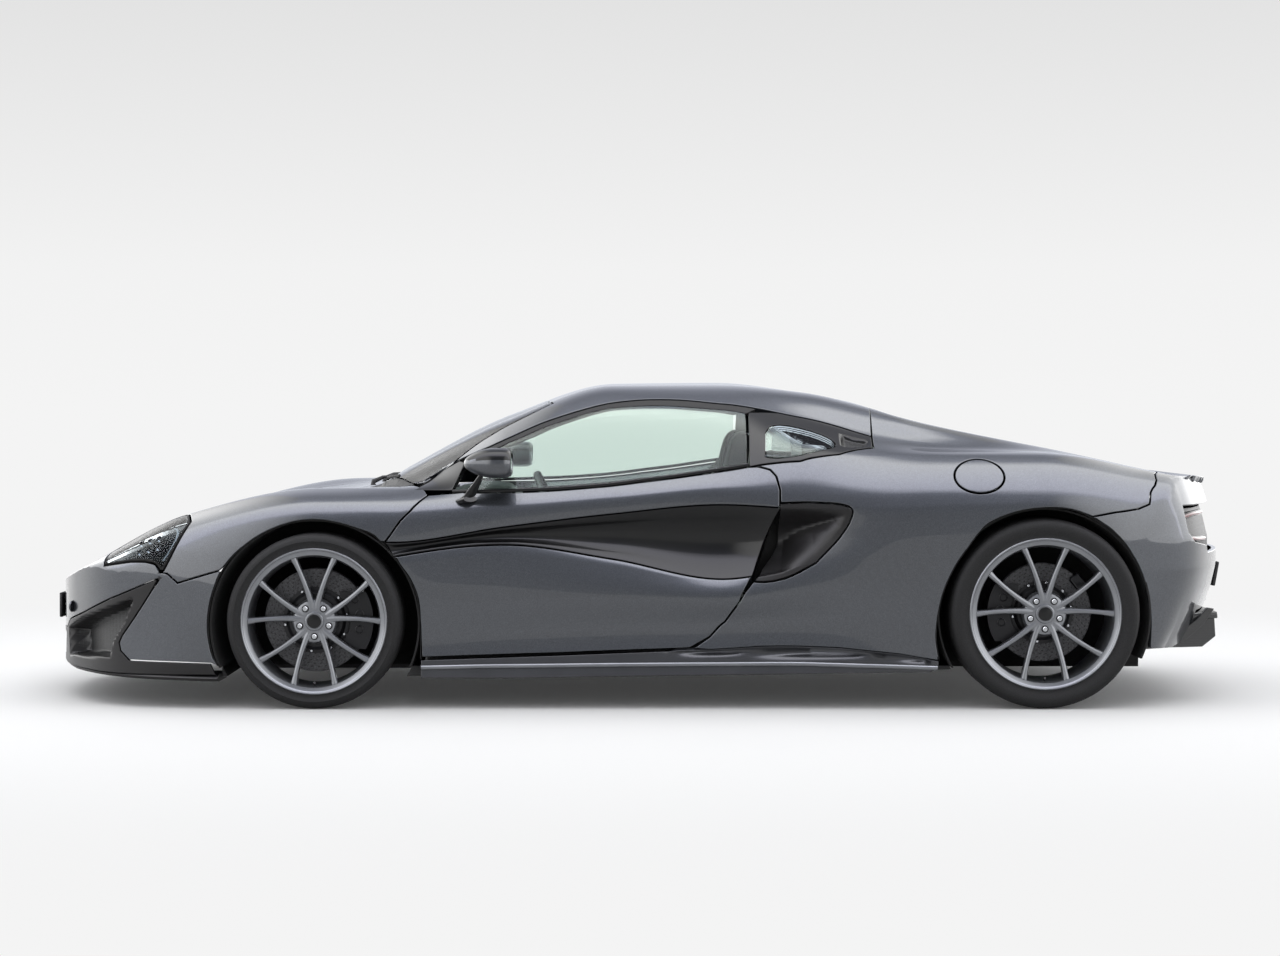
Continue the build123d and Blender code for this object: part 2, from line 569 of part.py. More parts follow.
# --- tail ----------------------------------------------------------------------------------------
flap_normal = (cos(radians(FLAP_TILT)), 0, sin(radians(FLAP_TILT)))
flap_axis = (-sin(radians(FLAP_TILT)), 0, cos(radians(FLAP_TILT)))
hole_centre = (FLAP_CENTRE[0], FLAP_CENTRE[1] - FLAP_HOLE_SHIFT, FLAP_CENTRE[2])
flap_hole = rod(along(hole_centre, flap_normal, -FLAP_CUT), along(hole_centre, flap_normal, FLAP_CUT),
                FLAP_HOLE_RADIUS)
flap_disc = rod(along(FLAP_CENTRE, flap_normal, -FLAP_CUT), along(FLAP_CENTRE, flap_normal, FLAP_CUT),
                FLAP_RADIUS)
flap_edge = (FLAP_CENTRE[0], FLAP_CENTRE[1] - FLAP_RADIUS - FLAP_HINGE_OUT, FLAP_CENTRE[2])
flap_hinge = along(flap_edge, flap_normal, -FLAP_HINGE_DEPTH)
flap_sleeve, flap_pin, flap_sleeve_room, flap_bore = hinge(flap_hinge, flap_axis, FLAP_SLEEVE,
                                                           FLAP_PIN_RADIUS, FLAP_PIN_END, FLAP_SLEEVE_WALL)
flap_plate = cut_piece(cut_piece(left_hull, remove=[hull(FLAP_WALL)]), keep=[flap_disc])
save("fuel_flap", cut_piece(joined(flap_plate, flap_sleeve), remove=[flap_bore]))
belly_room = box(-SKIRT_IN_X, SKIRT_IN_X, 0, BELLY_END_Y, 0, BELLY_Z)
quarter = cut_piece(left_skin, keep=[side_prism(REAR_QUARTER)],
                    remove=[quarter_window_shape, rear_window_shape, deck_shape, wing_room, door_swing_room,
                            window_room, arch["rear"], side_prism(INTAKE), belly_room])
save("rear_quarter_right", other_side(quarter))
save("rear_quarter_left", joined(cut_piece(quarter, remove=[flap_hole, flap_sleeve_room]), flap_pin))
save_pair("side_intake", cut_piece(left_deep_skin, keep=[side_prism(INTAKE)],
                                   remove=[side_prism(INTAKE, grow=-INTAKE_RIM), door_swing_room]))
save("rear_deck", cut_piece(skin, keep=[deck_shape], remove=[wing_room, rear_window_shape]))
wing_pin = rod(*WING_PIN, PIN_RADIUS)
wing_bore = rod(along(WING_PIN[0], (1, 0, 0), -BORE_END), WING_PIN[1], PIN_RADIUS + FIT)
save("rear_wing", cut_piece(skin, keep=[wing_shape], remove=[wing_bore, other_side(wing_bore)]))
bumper_side = side_prism(REAR_BUMPER)
grille_hole = box(-GRILLE_HALF_WIDTH, GRILLE_HALF_WIDTH, TAIL_OPENING_Y, FAR_Y, *GRILLE_Z)
lamp_box = box(-LAMP_X[1], -LAMP_X[0], TAIL_OPENING_Y, FAR_Y, *LAMP_Z)
diffuser_room = box(-DIFFUSER_HALF_WIDTH, DIFFUSER_HALF_WIDTH, REAR_AXLE_Y, FAR_Y, 0, DIFFUSER_TOP_Z)
bumper_shell = cut_piece(skin, keep=[joined(bumper_side, other_side(bumper_side))],
                         remove=[wing_room, deck_shape, both_arches["rear"], grille_hole, lamp_box,
                                 other_side(lamp_box), belly_room, diffuser_room,
                                 *plate_holes["rear"]])
save("rear_bumper", joined(bumper_shell, wing_pin, other_side(wing_pin)))

with BuildPart() as diffuser:
    with BuildSketch(Plane.XY.offset(DIFFUSER_LOW_Z)):
        with Locations((0, (DIFFUSER_Y[0] + DIFFUSER_Y[1]) / 2)):
            Rectangle(2 * DIFFUSER_HALF_WIDTH, DIFFUSER_Y[1] - DIFFUSER_Y[0])
    extrude(amount=DIFFUSER_TOP_Z - DIFFUSER_LOW_Z)
    with Locations(*[(x, (DIFFUSER_Y[0] + DIFFUSER_Y[1]) / 2, DIFFUSER_LOW_Z) for x in DIFFUSER_BAYS]):
        Box(DIFFUSER_BAY_WIDTH, REACH, 2 * DIFFUSER_BAY_HEIGHT, mode=Mode.SUBTRACT)
save("diffuser", cut_piece(diffuser.part, keep=[outer_hull]))
tail_lamp = cut_piece(skin, keep=[lamp_box], remove=[wing_room])
save("tail_lamps", joined(tail_lamp, other_side(tail_lamp)))

# --- underside and sills -------------------------------------------------------------------------
skirt_shape = side_prism(SKIRT, SKIRT_IN_X)
save_pair("side_skirt", cut_piece(left_skin, keep=[skirt_shape], remove=[arch["front"], arch["rear"]]))
save("underfloor", cut_piece(box(-SKIRT_IN_X, SKIRT_IN_X, UNDERFLOOR_Y[0], UNDERFLOOR_Y[1], 0, FLOOR_Z),
                             keep=[outer_hull], remove=[both_arches["front"], both_arches["rear"]]))

# --- passenger tub -------------------------------------------------------------------------------
with BuildPart() as tub:
    with BuildSketch(Plane.XZ.offset(-TUB_Y[0])):
        with BuildLine():
            Polyline(*TUB_SECTION)
            mirror(about=Plane.YZ)
        make_face()
    extrude(amount=TUB_Y[0] - TUB_Y[1])
front_wall = box(-TUB_FRONT_X, TUB_FRONT_X, TUB_Y[0], TUB_Y[0] + TUB_WALL, FLOOR_Z, TUB_FRONT_TOP)
rear_wall = box(-TUB_REAR_X, TUB_REAR_X, TUB_Y[1] - TUB_WALL, TUB_Y[1], FLOOR_Z, TUB_REAR_TOP)
save("passenger_tub", cut_piece(joined(tub.part, front_wall, rear_wall), keep=[inner_hull]))

# --- seats, dashboard, steering wheel ------------------------------------------------------------
for name, side in (("left", 1), ("right", -1)):
    with BuildPart() as seat:
        with BuildSketch(Plane.YZ.offset(side * SEAT_X - SEAT_WIDTH / 2)):
            with BuildLine():
                Polyline(*SEAT_PROFILE, close=True)
            make_face()
        extrude(amount=SEAT_WIDTH)
    save(f"seat_{name}", seat.part)
with BuildPart() as dashboard:
    with BuildSketch(Plane.YZ):
        with BuildLine():
            Polyline(*DASH_PROFILE, close=True)
        make_face()
    extrude(amount=DASH_HALF_WIDTH, both=True)
column_end = along(WHEEL_CENTRE, COLUMN_AXIS, -COLUMN_LENGTH)
column_bore = rod(WHEEL_CENTRE, along(WHEEL_CENTRE, COLUMN_AXIS, -COLUMN_LENGTH - GAP), COLUMN_RADIUS + FIT)
console = box(-CONSOLE_HALF_WIDTH, CONSOLE_HALF_WIDTH, *CONSOLE_Y, FLOOR_TOP_Z, CONSOLE_TOP_Z)
save("dashboard", joined(cut_piece(dashboard.part, remove=[column_bore]), console))
with BuildPart() as steering_wheel:
    with BuildSketch(Plane(origin=WHEEL_CENTRE, x_dir=(1, 0, 0), z_dir=COLUMN_AXIS)):
        Circle(STEERING_RADIUS)
        Circle(STEERING_RADIUS - STEERING_RIM, mode=Mode.SUBTRACT)
        Rectangle(2 * STEERING_RADIUS - STEERING_RIM, STEERING_SPOKE)
        Circle(STEERING_BOSS)
    extrude(amount=STEERING_RIM / 2, both=True)
save("steering_wheel", joined(steering_wheel.part, rod(WHEEL_CENTRE, column_end, COLUMN_RADIUS)))

# --- subframes, suspension, engine ---------------------------------------------------------------
beam_y = {"front": (NOSE_BEAM_Y, NOSE_BEAM_Y + RAIL_WIDTH), "rear": (TAIL_BEAM_Y - RAIL_WIDTH, TAIL_BEAM_Y)}
rail_y = {"front": (NOSE_BEAM_Y, TUB_Y[0]), "rear": (TUB_Y[1], TAIL_BEAM_Y)}
for axle in AXLES:
    half = RAIL_WIDTH / 2
    tower_y = (AXLE_Y[axle] - ARM_SPREAD - TOWER_EDGE, AXLE_Y[axle] + ARM_SPREAD + TOWER_EDGE)
    tower_z = (TYRE_RADIUS[axle] - ARM_DROP - TOWER_EDGE, TYRE_RADIUS[axle] + ARM_RISE + TOWER_EDGE)
    rails = [box(-RAIL_X[axle], RAIL_X[axle], *beam_y[axle], *RAIL_Z[axle])]
    for x in (-RAIL_X[axle], RAIL_X[axle]):
        rails.append(box(x - half, x + half, *rail_y[axle], *RAIL_Z[axle]))
        rails.append(box(x - half, x + half, *tower_y, *tower_z))
    save(f"{axle}_subframe", joined(*rails))
engine_half_width = RAIL_X["rear"] - RAIL_WIDTH / 2
save("engine", joined(box(-engine_half_width, engine_half_width, *ENGINE_Y, *ENGINE_Z),
                      box(-GEARBOX_HALF_WIDTH, GEARBOX_HALF_WIDTH, ENGINE_Y[1], GEARBOX_END_Y, *GEARBOX_Z)))

wishbones = []
liners = []
for axle in AXLES:
    y = AXLE_Y[axle]
    z = TYRE_RADIUS[axle]
    rim_in_x = WHEEL_FACE_X - TYRE_WIDTH[axle]
    tower_x = RAIL_X[axle] + RAIL_WIDTH / 2
    arms = []
    for arm_z in (z - ARM_DROP, z + ARM_RISE):
        for start_y in (y - ARM_SPREAD, y + ARM_SPREAD):
            arms.append(rod((tower_x - ARM_SINK, start_y, arm_z), (ARM_OUT_X, y, arm_z), ARM_RADIUS))
        arms.append(rod((ARM_OUT_X, y, arm_z - ARM_RADIUS), (ARM_OUT_X, y, arm_z + ARM_RADIUS),
                        ARM_EYE_RADIUS))
    left_arms = cut_piece(joined(*arms), remove=[box(0, tower_x, y - REACH, y + REACH, 0, REACH)])
    wishbones += [left_arms, other_side(left_arms)]

    # upright with its spindle and brake caliper
    upright_foot = (ARM_OUT_X, y, z - ARM_DROP + ARM_RADIUS + FIT)
    upright_head = (ARM_OUT_X, y, z + ARM_RISE - ARM_RADIUS - FIT)
    disc_room_x = DISC_X[axle] - DISC_THICKNESS / 2 - GAP
    upright = joined(rod(upright_foot, upright_head, UPRIGHT_RADIUS),
                     drum(y, z, KNUCKLE_RADIUS, ARM_OUT_X - UPRIGHT_RADIUS, disc_room_x),
                     drum(y, z, SPINDLE_RADIUS, ARM_OUT_X, WHEEL_FACE_X - SPINDLE_END[axle]))
    side = CALIPER_SIDE[axle]
    with BuildPart() as caliper:
        with BuildSketch(Plane.YZ.offset(DISC_X[axle] - CALIPER_DEPTH / 2)):
            with Locations((y, z)):
                Circle(DISC_RADIUS[axle] + CALIPER_OVER)
                Circle(DISC_RADIUS[axle] - CALIPER_UNDER, mode=Mode.SUBTRACT)
            with Locations((y + side * REACH / 2, z)):
                Rectangle(REACH - 2 * CALIPER_EDGE, CALIPER_HEIGHT, mode=Mode.INTERSECT)
        extrude(amount=CALIPER_DEPTH)
        with BuildSketch(Plane.YZ.offset(disc_room_x)):
            with Locations((y, z)):
                Circle(DISC_RADIUS[axle] + GAP)
        extrude(amount=DISC_THICKNESS + 2 * GAP, mode=Mode.SUBTRACT)
    bracket_y = sorted((y, y + side * DISC_RADIUS[axle]))
    bracket = box(ARM_OUT_X - BRACKET_WALL, DISC_X[axle] - CALIPER_DEPTH / 2 + BRACKET_WALL, *bracket_y,
                  z - BRACKET_HALF_HEIGHT, z + BRACKET_HALF_HEIGHT)
    save_pair(f"{axle}_knuckle", joined(upright, caliper.part, bracket))

    # disc with its bell, fast to the rim
    disc = cut_piece(joined(drum(y, z, DISC_RADIUS[axle], DISC_X[axle] - DISC_THICKNESS / 2,
                                 DISC_X[axle] + DISC_THICKNESS / 2),
                            drum(y, z, HUB_RADIUS, DISC_X[axle], HUB_X[axle])),
                     remove=[drum(y, z, SPINDLE_RADIUS + GAP, 0, REACH)])
    save_pair(f"{axle}_brake_disc", disc)

    # rim: barrel, lip, hub and spokes, turned about the axle
    lip = LIP_RADIUS[axle]
    with BuildPart() as rim:
        with BuildSketch(Plane.YZ.offset(rim_in_x)):
            with Locations((y, z)):
                Circle(lip - RIM_STEP)
                Circle(lip - RIM_STEP - RIM_WALL, mode=Mode.SUBTRACT)
        extrude(amount=TYRE_WIDTH[axle])
        for lip_x in (rim_in_x + LIP_INSET, WHEEL_FACE_X - LIP_INSET - RIM_WALL):
            with BuildSketch(Plane.YZ.offset(lip_x)):
                with Locations((y, z)):
                    Circle(lip)
                    Circle(lip - RIM_STEP - RIM_WALL, mode=Mode.SUBTRACT)
            extrude(amount=RIM_WALL)
        with BuildSketch(Plane.YZ.offset(HUB_X[axle])):
            with Locations((y, z)):
                Circle(HUB_RADIUS)
        extrude(amount=HUB_LENGTH)
        with BuildSketch(Plane.YZ.offset(HUB_X[axle] + HUB_LENGTH - SPOKE_DEPTH)):
            with Locations((y, z)):
                with PolarLocations((lip - RIM_STEP + HUB_RADIUS) / 2 - RIM_WALL / 2, SPOKES):
                    Rectangle(lip - RIM_STEP - HUB_RADIUS + RIM_WALL / 2, SPOKE_WIDTH)
        extrude(amount=SPOKE_DEPTH)
        with BuildSketch(Plane.YZ.offset(HUB_X[axle])):
            with Locations((y, z)):
                with PolarLocations(BOLT_CIRCLE / 2, BOLTS, start_angle=90):
                    Circle(BOLT_HOLE_RADIUS)
        extrude(amount=HUB_LENGTH, mode=Mode.SUBTRACT)
        with BuildSketch(Plane.YZ.offset(HUB_X[axle])):
            with Locations((y, z)):
                Circle(SPINDLE_RADIUS + FIT)
        extrude(amount=HUB_LENGTH, mode=Mode.SUBTRACT)
    save_pair(f"{axle}_rim", rim.part)

    # tyre: a turned section between its beads
    tread = TYRE_RADIUS[axle]
    with BuildPart() as tyre:
        with BuildSketch(Plane.XY):
            with BuildLine():
                Polyline((rim_in_x + BEAD_INSET, lip), (rim_in_x, lip + BEAD_RISE),
                         (rim_in_x + SIDEWALL_LEAN, tread - SHOULDER),
                         (rim_in_x + SHOULDER, tread), (WHEEL_FACE_X - SHOULDER, tread),
                         (WHEEL_FACE_X - SIDEWALL_LEAN, tread - SHOULDER), (WHEEL_FACE_X, lip + BEAD_RISE),
                         (WHEEL_FACE_X - BEAD_INSET, lip), (WHEEL_FACE_X - BEAD_INSET, lip - RIM_STEP),
                         (rim_in_x + BEAD_INSET, lip - RIM_STEP), close=True)
            make_face()
        revolve(axis=Axis.X)
    tyre_at_axle = tyre.part.moved(Location((0, y, z)))
    well = drum(y, z, lip - RIM_STEP, rim_in_x, WHEEL_FACE_X)
    save_pair(f"{axle}_tyre", cut_piece(tyre_at_axle, remove=[rim.part, well]))

    # liner over the wheel, open below
    liner_band = cut_piece(drum(y, ARCH_Z[axle], ARCH_RADIUS[axle], LINER_IN_X[axle], LINER_OUT_X),
                           keep=[outer_hull, box(0, REACH, y - REACH, y + REACH, LINER_FOOT_Z, HULL_TOP)],
                           remove=[drum(y, ARCH_Z[axle], ARCH_RADIUS[axle] - LINER_WALL, 0, REACH)])
    liners += [liner_band, other_side(liner_band)]
save("wishbones", joined(*wishbones))
save("wheel_liners", joined(*liners))
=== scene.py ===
"""The looks of a mid-engined two-seat coupe with dihedral doors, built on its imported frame.

The skin is one smooth surface, given by feature lines along the car. Each panel is a patch of it
with its own edges, folded in round a real shut line. Sizes are in millimetres until a mesh is made.
The left side is modelled, and the right side is its mirror image.
"""
import math
import bmesh
import bpy
import numpy as np
from mathutils import Matrix, Vector
from mathutils.geometry import delaunay_2d_cdt


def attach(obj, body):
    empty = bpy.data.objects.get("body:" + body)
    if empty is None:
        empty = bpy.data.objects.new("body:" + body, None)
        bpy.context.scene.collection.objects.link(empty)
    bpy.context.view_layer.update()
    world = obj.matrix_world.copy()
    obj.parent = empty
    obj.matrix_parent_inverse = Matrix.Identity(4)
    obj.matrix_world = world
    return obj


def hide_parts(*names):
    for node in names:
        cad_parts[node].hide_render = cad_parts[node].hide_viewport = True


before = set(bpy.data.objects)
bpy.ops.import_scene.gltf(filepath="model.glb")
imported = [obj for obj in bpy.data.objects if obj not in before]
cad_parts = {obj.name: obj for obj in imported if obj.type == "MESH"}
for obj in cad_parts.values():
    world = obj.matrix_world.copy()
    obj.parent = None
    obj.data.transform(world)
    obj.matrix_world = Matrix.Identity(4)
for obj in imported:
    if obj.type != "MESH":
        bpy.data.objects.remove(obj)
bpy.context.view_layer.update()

MM = 0.001
COLLECTION = bpy.context.scene.collection
SIDES = ("left", "right")
HALF_LENGTH = 2265


# --- colour and nodes -----------------------------------------------------------------------------
def shade(code, alpha=1.0):
    """Linear colour of an sRGB hex value."""
    parts = [int(code[i:i + 2], 16) / 255 for i in (1, 3, 5)]
    return tuple(c / 12.92 if c <= 0.04045 else ((c + 0.055) / 1.055) ** 2.4 for c in parts) + (alpha,)


def node(tree, kind, settings=None, **inputs):
    """Adds a node with its settings, and links or sets its inputs by name or number."""
    made = tree.nodes.new(kind)
    for key, value in (settings or {}).items():
        setattr(made, key, value)
    for key, value in inputs.items():
        socket = made.inputs[int(key[1:]) if key[0] == "_" and key[1:].isdigit() else key.replace("_", " ")]
        if isinstance(value, bpy.types.NodeSocket):
            tree.links.new(value, socket)
        else:
            socket.default_value = value
    return made


def material(name, **values):
    """A new material with its shader's plain values set."""
    made = bpy.data.materials.new(name)
    made.use_nodes = True
    shader = made.node_tree.nodes["Principled BSDF"]
    for key, value in values.items():
        shader.inputs[key.replace("_", " ")].default_value = value
    return made, made.node_tree, shader


def ramp(tree, factor, *stops):
    """A colour ramp with stops of (place, hex)."""
    made = node(tree, "ShaderNodeValToRGB", _0=factor)
    for i, (place, code) in enumerate(stops):
        stop = made.color_ramp.elements[i] if i < 2 else made.color_ramp.elements.new(place)
        stop.position = place
        stop.color = shade(code)
    return made.outputs["Color"]


def sums(tree, operation, *values):
    """Result of a math node on values or sockets."""
    return node(tree, "ShaderNodeMath", {"operation": operation},
        **{f"_{i}": value for i, value in enumerate(values)}).outputs[0]


def smooth_range(tree, value, *limits):
    """A value eased from one range (low, high) to another."""
    return node(tree, "ShaderNodeMapRange", {"interpolation_type": "SMOOTHSTEP"}, _0=value,
        **{f"_{i + 1}": limit for i, limit in enumerate(limits)}).outputs[0]


def own_place(tree, kind="Object"):
    """Coordinates that move with the piece."""
    return node(tree, "ShaderNodeTexCoord").outputs[kind]


def noise(tree, place, scale, detail):
    """Soft random pattern between 0 and 1."""
    return node(tree, "ShaderNodeTexNoise", Vector=place, Scale=scale, Detail=detail).outputs["Fac"]


def coloured(tree, shader, colour):
    """Drives the base colour by a socket."""
    tree.links.new(colour, shader.inputs["Base Color"])


def two_tone(tree, shader, factor, low, high):
    """Base colour that goes from one value or socket to another."""
    coloured(tree, shader, node(tree, "ShaderNodeMix", {"data_type": "RGBA"}, _0=factor, _6=low,
        _7=high).outputs[2])


def raised(tree, shader, height, strength, depth_mm, **under):
    """Tilts the shader's normal by a height."""
    made = node(tree, "ShaderNodeBump", Height=height, Strength=strength, Distance=depth_mm * MM, **under)
    tree.links.new(made.outputs["Normal"], shader.inputs["Normal"])


def surfaced(tree, factor, first, second):
    """A blend of two shaders as what the material shows."""
    mix = node(tree, "ShaderNodeMixShader", _0=factor, _1=first.outputs[0], _2=second.outputs[0])
    out = next(n for n in tree.nodes if n.type == "OUTPUT_MATERIAL")
    tree.links.new(mix.outputs[0], out.inputs["Surface"])


def grain(name, dark, light, size_mm, bump=0.2, depth_mm=0.3, **values):
    """Moulded or cast surface: a fine random grain in colour, gloss and height."""
    made, tree, shader = material(name, **values)
    place = own_place(tree)
    fine, wide = noise(tree, place, 1000 / size_mm, 3.0), noise(tree, place, 6.0, 2.0)
    half = sums(tree, "MULTIPLY", sums(tree, "ADD", fine, wide), 0.5)
    coloured(tree, shader, ramp(tree, half, (0.3, dark), (0.7, light)))
    raised(tree, shader, fine, bump, depth_mm)
    return made


def car_paint():
    """Metallic enamel under lacquer: flakes that glint, and a clear coat that mirrors the studio."""
    made, tree, shader = material("metallic_enamel_lacquered", Metallic=0.75, Roughness=0.34,
                                  Coat_Weight=1.0, Coat_Roughness=0.02, Coat_IOR=1.5)
    place = own_place(tree)
    flakes = node(tree, "ShaderNodeTexVoronoi", Vector=place, Scale=900.0)
    tint = node(tree, "ShaderNodeSeparateColor", _0=flakes.outputs["Color"]).outputs
    drift = sums(tree, "MULTIPLY_ADD", noise(tree, place, 3.0, 2.0), 0.12, tint[0])
    coloured(tree, shader, ramp(tree, drift, (0.1, "#35373B"), (0.6, "#3F4247"), (1.0, "#4E5157")))
    raised(tree, shader, tint[1], 0.03, 0.1)
    return made


def window_glass(name, colour, mirror=1.22):
    """Float glass a few millimetres thick: clear, with a cool tint, and gloss on both faces."""
    # the plain shader stays for exports that read one, and the blend is what renders
    made, tree, _ = material(name, Roughness=0.0, IOR=1.5, Transmission_Weight=1.0)
    clear = node(tree, "ShaderNodeBsdfTransparent", Color=shade(colour))
    gloss = node(tree, "ShaderNodeBsdfGlossy", Color=(1, 1, 1, 1), Roughness=0.0)
    surfaced(tree, node(tree, "ShaderNodeFresnel", IOR=mirror).outputs[0], clear, gloss)
    return made


def drilled_disc():
    """Carbon ceramic brake face: mottled dark grey, with rows of drilled holes along spirals, painted near-black as
    the shade inside them.
    """
    made, tree, shader = material("carbon_ceramic_drilled", Roughness=0.42, Metallic=0.25)
    # u counts holes round the disc and v counts rows outwards, so a row's shift makes the spiral
    u, v, _ = node(tree, "ShaderNodeSeparateXYZ", _0=node(tree, "ShaderNodeUVMap").outputs["UV"]).outputs
    squares = []
    for value in (sums(tree, "MULTIPLY_ADD", v, 0.37, u), v):
        off = sums(tree, "SUBTRACT", sums(tree, "FRACT", value), 0.5)
        squares.append(sums(tree, "MULTIPLY", off, off))
    solid = sums(tree, "GREATER_THAN", sums(tree, "ADD", *squares), 0.03)
    face = ramp(tree, noise(tree, own_place(tree), 160.0, 4.0), (0.35, "#2A2A2C"), (0.65, "#47474A"))
    # the holes are painted near-black on the flat face: painted shade inside them
    two_tone(tree, shader, solid, shade("#060606"), face)
    raised(tree, shader, solid, 0.6, 1.0)
    return made


def tyre_rubber():
    """Moulded tyre rubber: black with a grey bloom, fine ribs round the sidewall, cuts across the tread."""
    made, tree, shader = material("vulcanised_rubber_moulded", Roughness=0.7, Specular_IOR_Level=0.3)
    u, v, _ = node(tree, "ShaderNodeSeparateXYZ", _0=node(tree, "ShaderNodeUVMap").outputs["UV"]).outputs
    coloured(tree, shader, ramp(tree, noise(tree, own_place(tree), 240.0, 3.0), (0.35, "#0E0E0F"),
        (0.7, "#1B1B1C")))
    ribs = sums(tree, "SINE", sums(tree, "MULTIPLY", v, 420.0))
    # cuts across the tread: 72 round the tyre, slanted, only where v is past the shoulder
    slant = sums(tree, "MULTIPLY_ADD", v, 9.0, sums(tree, "MULTIPLY", u, 72.0))
    cut = sums(tree, "GREATER_THAN", sums(tree, "FRACT", slant), 0.16)
    middle = sums(tree, "COMPARE", v, 0.5, 0.26)
    tread = node(tree, "ShaderNodeMix", _0=middle, _2=1.0, _3=cut).outputs[0]
    side_ribs = node(tree, "ShaderNodeMix", _0=middle, _2=ribs, _3=0.0).outputs[0]
    fine = node(tree, "ShaderNodeBump", Height=side_ribs, Strength=0.25, Distance=0.4 * MM)
    raised(tree, shader, tread, 1.0, 3.0, Normal=fine.outputs["Normal"])
    return made


def wire_mesh(name, size_mm):
    """Pressed black grille mesh: hexagon-like wires, with the gaps between them painted near-black as the shade
    behind.
    """
    made, tree, shader = material(name, Roughness=0.45)
    cells = node(tree, "ShaderNodeTexVoronoi", {"feature": "DISTANCE_TO_EDGE"}, Vector=own_place(tree),
        Scale=1000 / size_mm, Randomness=0.0)
    wires = sums(tree, "LESS_THAN", cells.outputs["Distance"], 0.12)
    # the gaps are painted near-black: painted shade behind the mesh, which has no real openings
    two_tone(tree, shader, wires, shade("#020202"), shade("#1A1B1C"))
    raised(tree, shader, wires, 1.0, 3.0)
    return made


def woven(name, warp, weft, thread_mm, **values):
    """Woven carbon twill: two crossing sets of threads, one over the other."""
    made, tree, shader = material(name, **values)
    place, threads = own_place(tree), []
    for turn in (0.0, math.pi / 2):
        laid = node(tree, "ShaderNodeMapping", Vector=place, Rotation=(turn, 0.6, 0.0))
        threads.append(node(tree, "ShaderNodeTexWave", {"bands_direction": "Z"}, Vector=laid.outputs[0],
            Scale=1000 / thread_mm / 6.283, Distortion=0.2).outputs["Fac"])
    two_tone(tree, shader, sums(tree, "GREATER_THAN", *threads), shade(warp), shade(weft))
    raised(tree, shader, sums(tree, "MAXIMUM", *threads), 0.35, 0.3)
    return made


PAINT = car_paint()
# gloss black lacquer on moulded panels: deep black that mirrors the studio sharply
GLOSS_BLACK = grain("abs_gloss_black_lacquered", "#040405", "#070708", 40, 0.01, Roughness=0.3,
    Specular_IOR_Level=0.2, Coat_Weight=0.3, Coat_Roughness=0.05)
# satin dark composite: soft highlights and a faint mottled grain
SATIN_DARK = grain("composite_satin_dark_moulded", "#2B2C2F", "#3A3B3F", 1.2, 0.08, Roughness=0.36, Metallic=0.35,
    Coat_Weight=0.3, Coat_Roughness=0.2)
# satin brown-black composite of the scoops: dim, with a soft sweep of light
SCOOP_DARK = grain("composite_satin_black_moulded", "#131213", "#1C1B1C", 1.2, 0.08, Roughness=0.42,
    Specular_IOR_Level=0.25, Coat_Weight=0.12, Coat_Roughness=0.25)
# grained black plastic: dull, light only on its edges
BLACK_PLASTIC = grain("polypropylene_black_grained", "#09090A", "#141415", 1.5, 0.3, Roughness=0.6)
# pressed felt of the arch liners: no shine at all
FELT = grain("polyester_felt_pressed", "#050505", "#0E0E0E", 2.0, 0.5, 0.6, Roughness=0.95)
# soft black rubber of seals
SEAL = grain("epdm_rubber_extruded", "#070707", "#101010", 1.0, 0.15, Roughness=0.75)
# satin dark wheel lacquer over forged alloy: smooth, with a metal glow
WHEEL_METAL = grain("aluminium_forged_satin_lacquered", "#6A6C70", "#7E8084", 0.8, 0.04, Metallic=0.75,
    Roughness=0.33, Coat_Weight=0.4, Coat_Roughness=0.15)
# bright machined alloy: for rings, bolts and pipe ends
BRIGHT_METAL = grain("aluminium_machined_bright", "#A9ABAE", "#C9CBCE", 0.6, 0.06, Metallic=1.0, Roughness=0.24)
# cast alloy: pale, dull and lightly pitted
CAST_METAL = grain("aluminium_cast_raw", "#6C6E70", "#8B8D8F", 1.6, 0.3, Metallic=0.8, Roughness=0.5)
# black hard-anodised caliper body
CALIPER_BLACK = grain("aluminium_hard_anodised_black", "#0E0E10", "#1B1B1E", 0.7, 0.08, Metallic=0.5,
    Roughness=0.35)
# suede-like microfibre of the seats: matte, with a pale nap at grazing angles
SUEDE = grain("microfibre_suede_napped", "#17171A", "#232327", 1.8, 0.35, 0.4, Roughness=0.9, Sheen_Weight=0.4,
    Sheen_Roughness=0.4)
# grained black leather of the dashboard and trims
LEATHER = grain("leather_black_grained", "#101012", "#1A1A1C", 2.2, 0.4, 0.4, Roughness=0.55)
# carbon twill under lacquer: a fine diagonal weave that shifts as the light moves
CARBON = woven("carbon_fibre_laminate_twill", "#0C0C0D", "#1B1C1E", 4.0, Roughness=0.25, Coat_Weight=0.8,
    Coat_Roughness=0.06)
# clear side and rear panes, a brighter mirror on the windscreen, and clear lamp covers
SIDE_GLASS = window_glass("float_glass_tempered_tinted", "#F0F6F3")
SCREEN_GLASS = window_glass("float_glass_laminated_clear", "#EEF7F2", mirror=1.3)
LENS = window_glass("polycarbonate_lens_moulded", "#E8ECEE", mirror=1.12)
# deep red translucent-looking lamp plastic with a wet gloss
RED_LENS = grain("acrylic_red_lens_moulded", "#5A0508", "#7A0A0E", 3.0, 0.1, Roughness=0.1, Coat_Weight=1.0)
DISC_FACE = drilled_disc()
RUBBER = tyre_rubber()
GRILLE = wire_mesh("steel_mesh_pressed_black", 16)
# frosted light guide, unlit: milky, with a cool tint
LIGHT_GUIDE = grain("polycarbonate_light_guide_frosted", "#9AA3AD", "#C3CAD2", 3.0, 0.05, Roughness=0.25,
    Coat_Weight=1.0)
# metallised reflector: grey mirror, a little dimmed
CHROME = grain("reflector_vacuum_metallised", "#77797D", "#96989C", 4.0, 0.02, Metallic=1.0, Roughness=0.08)
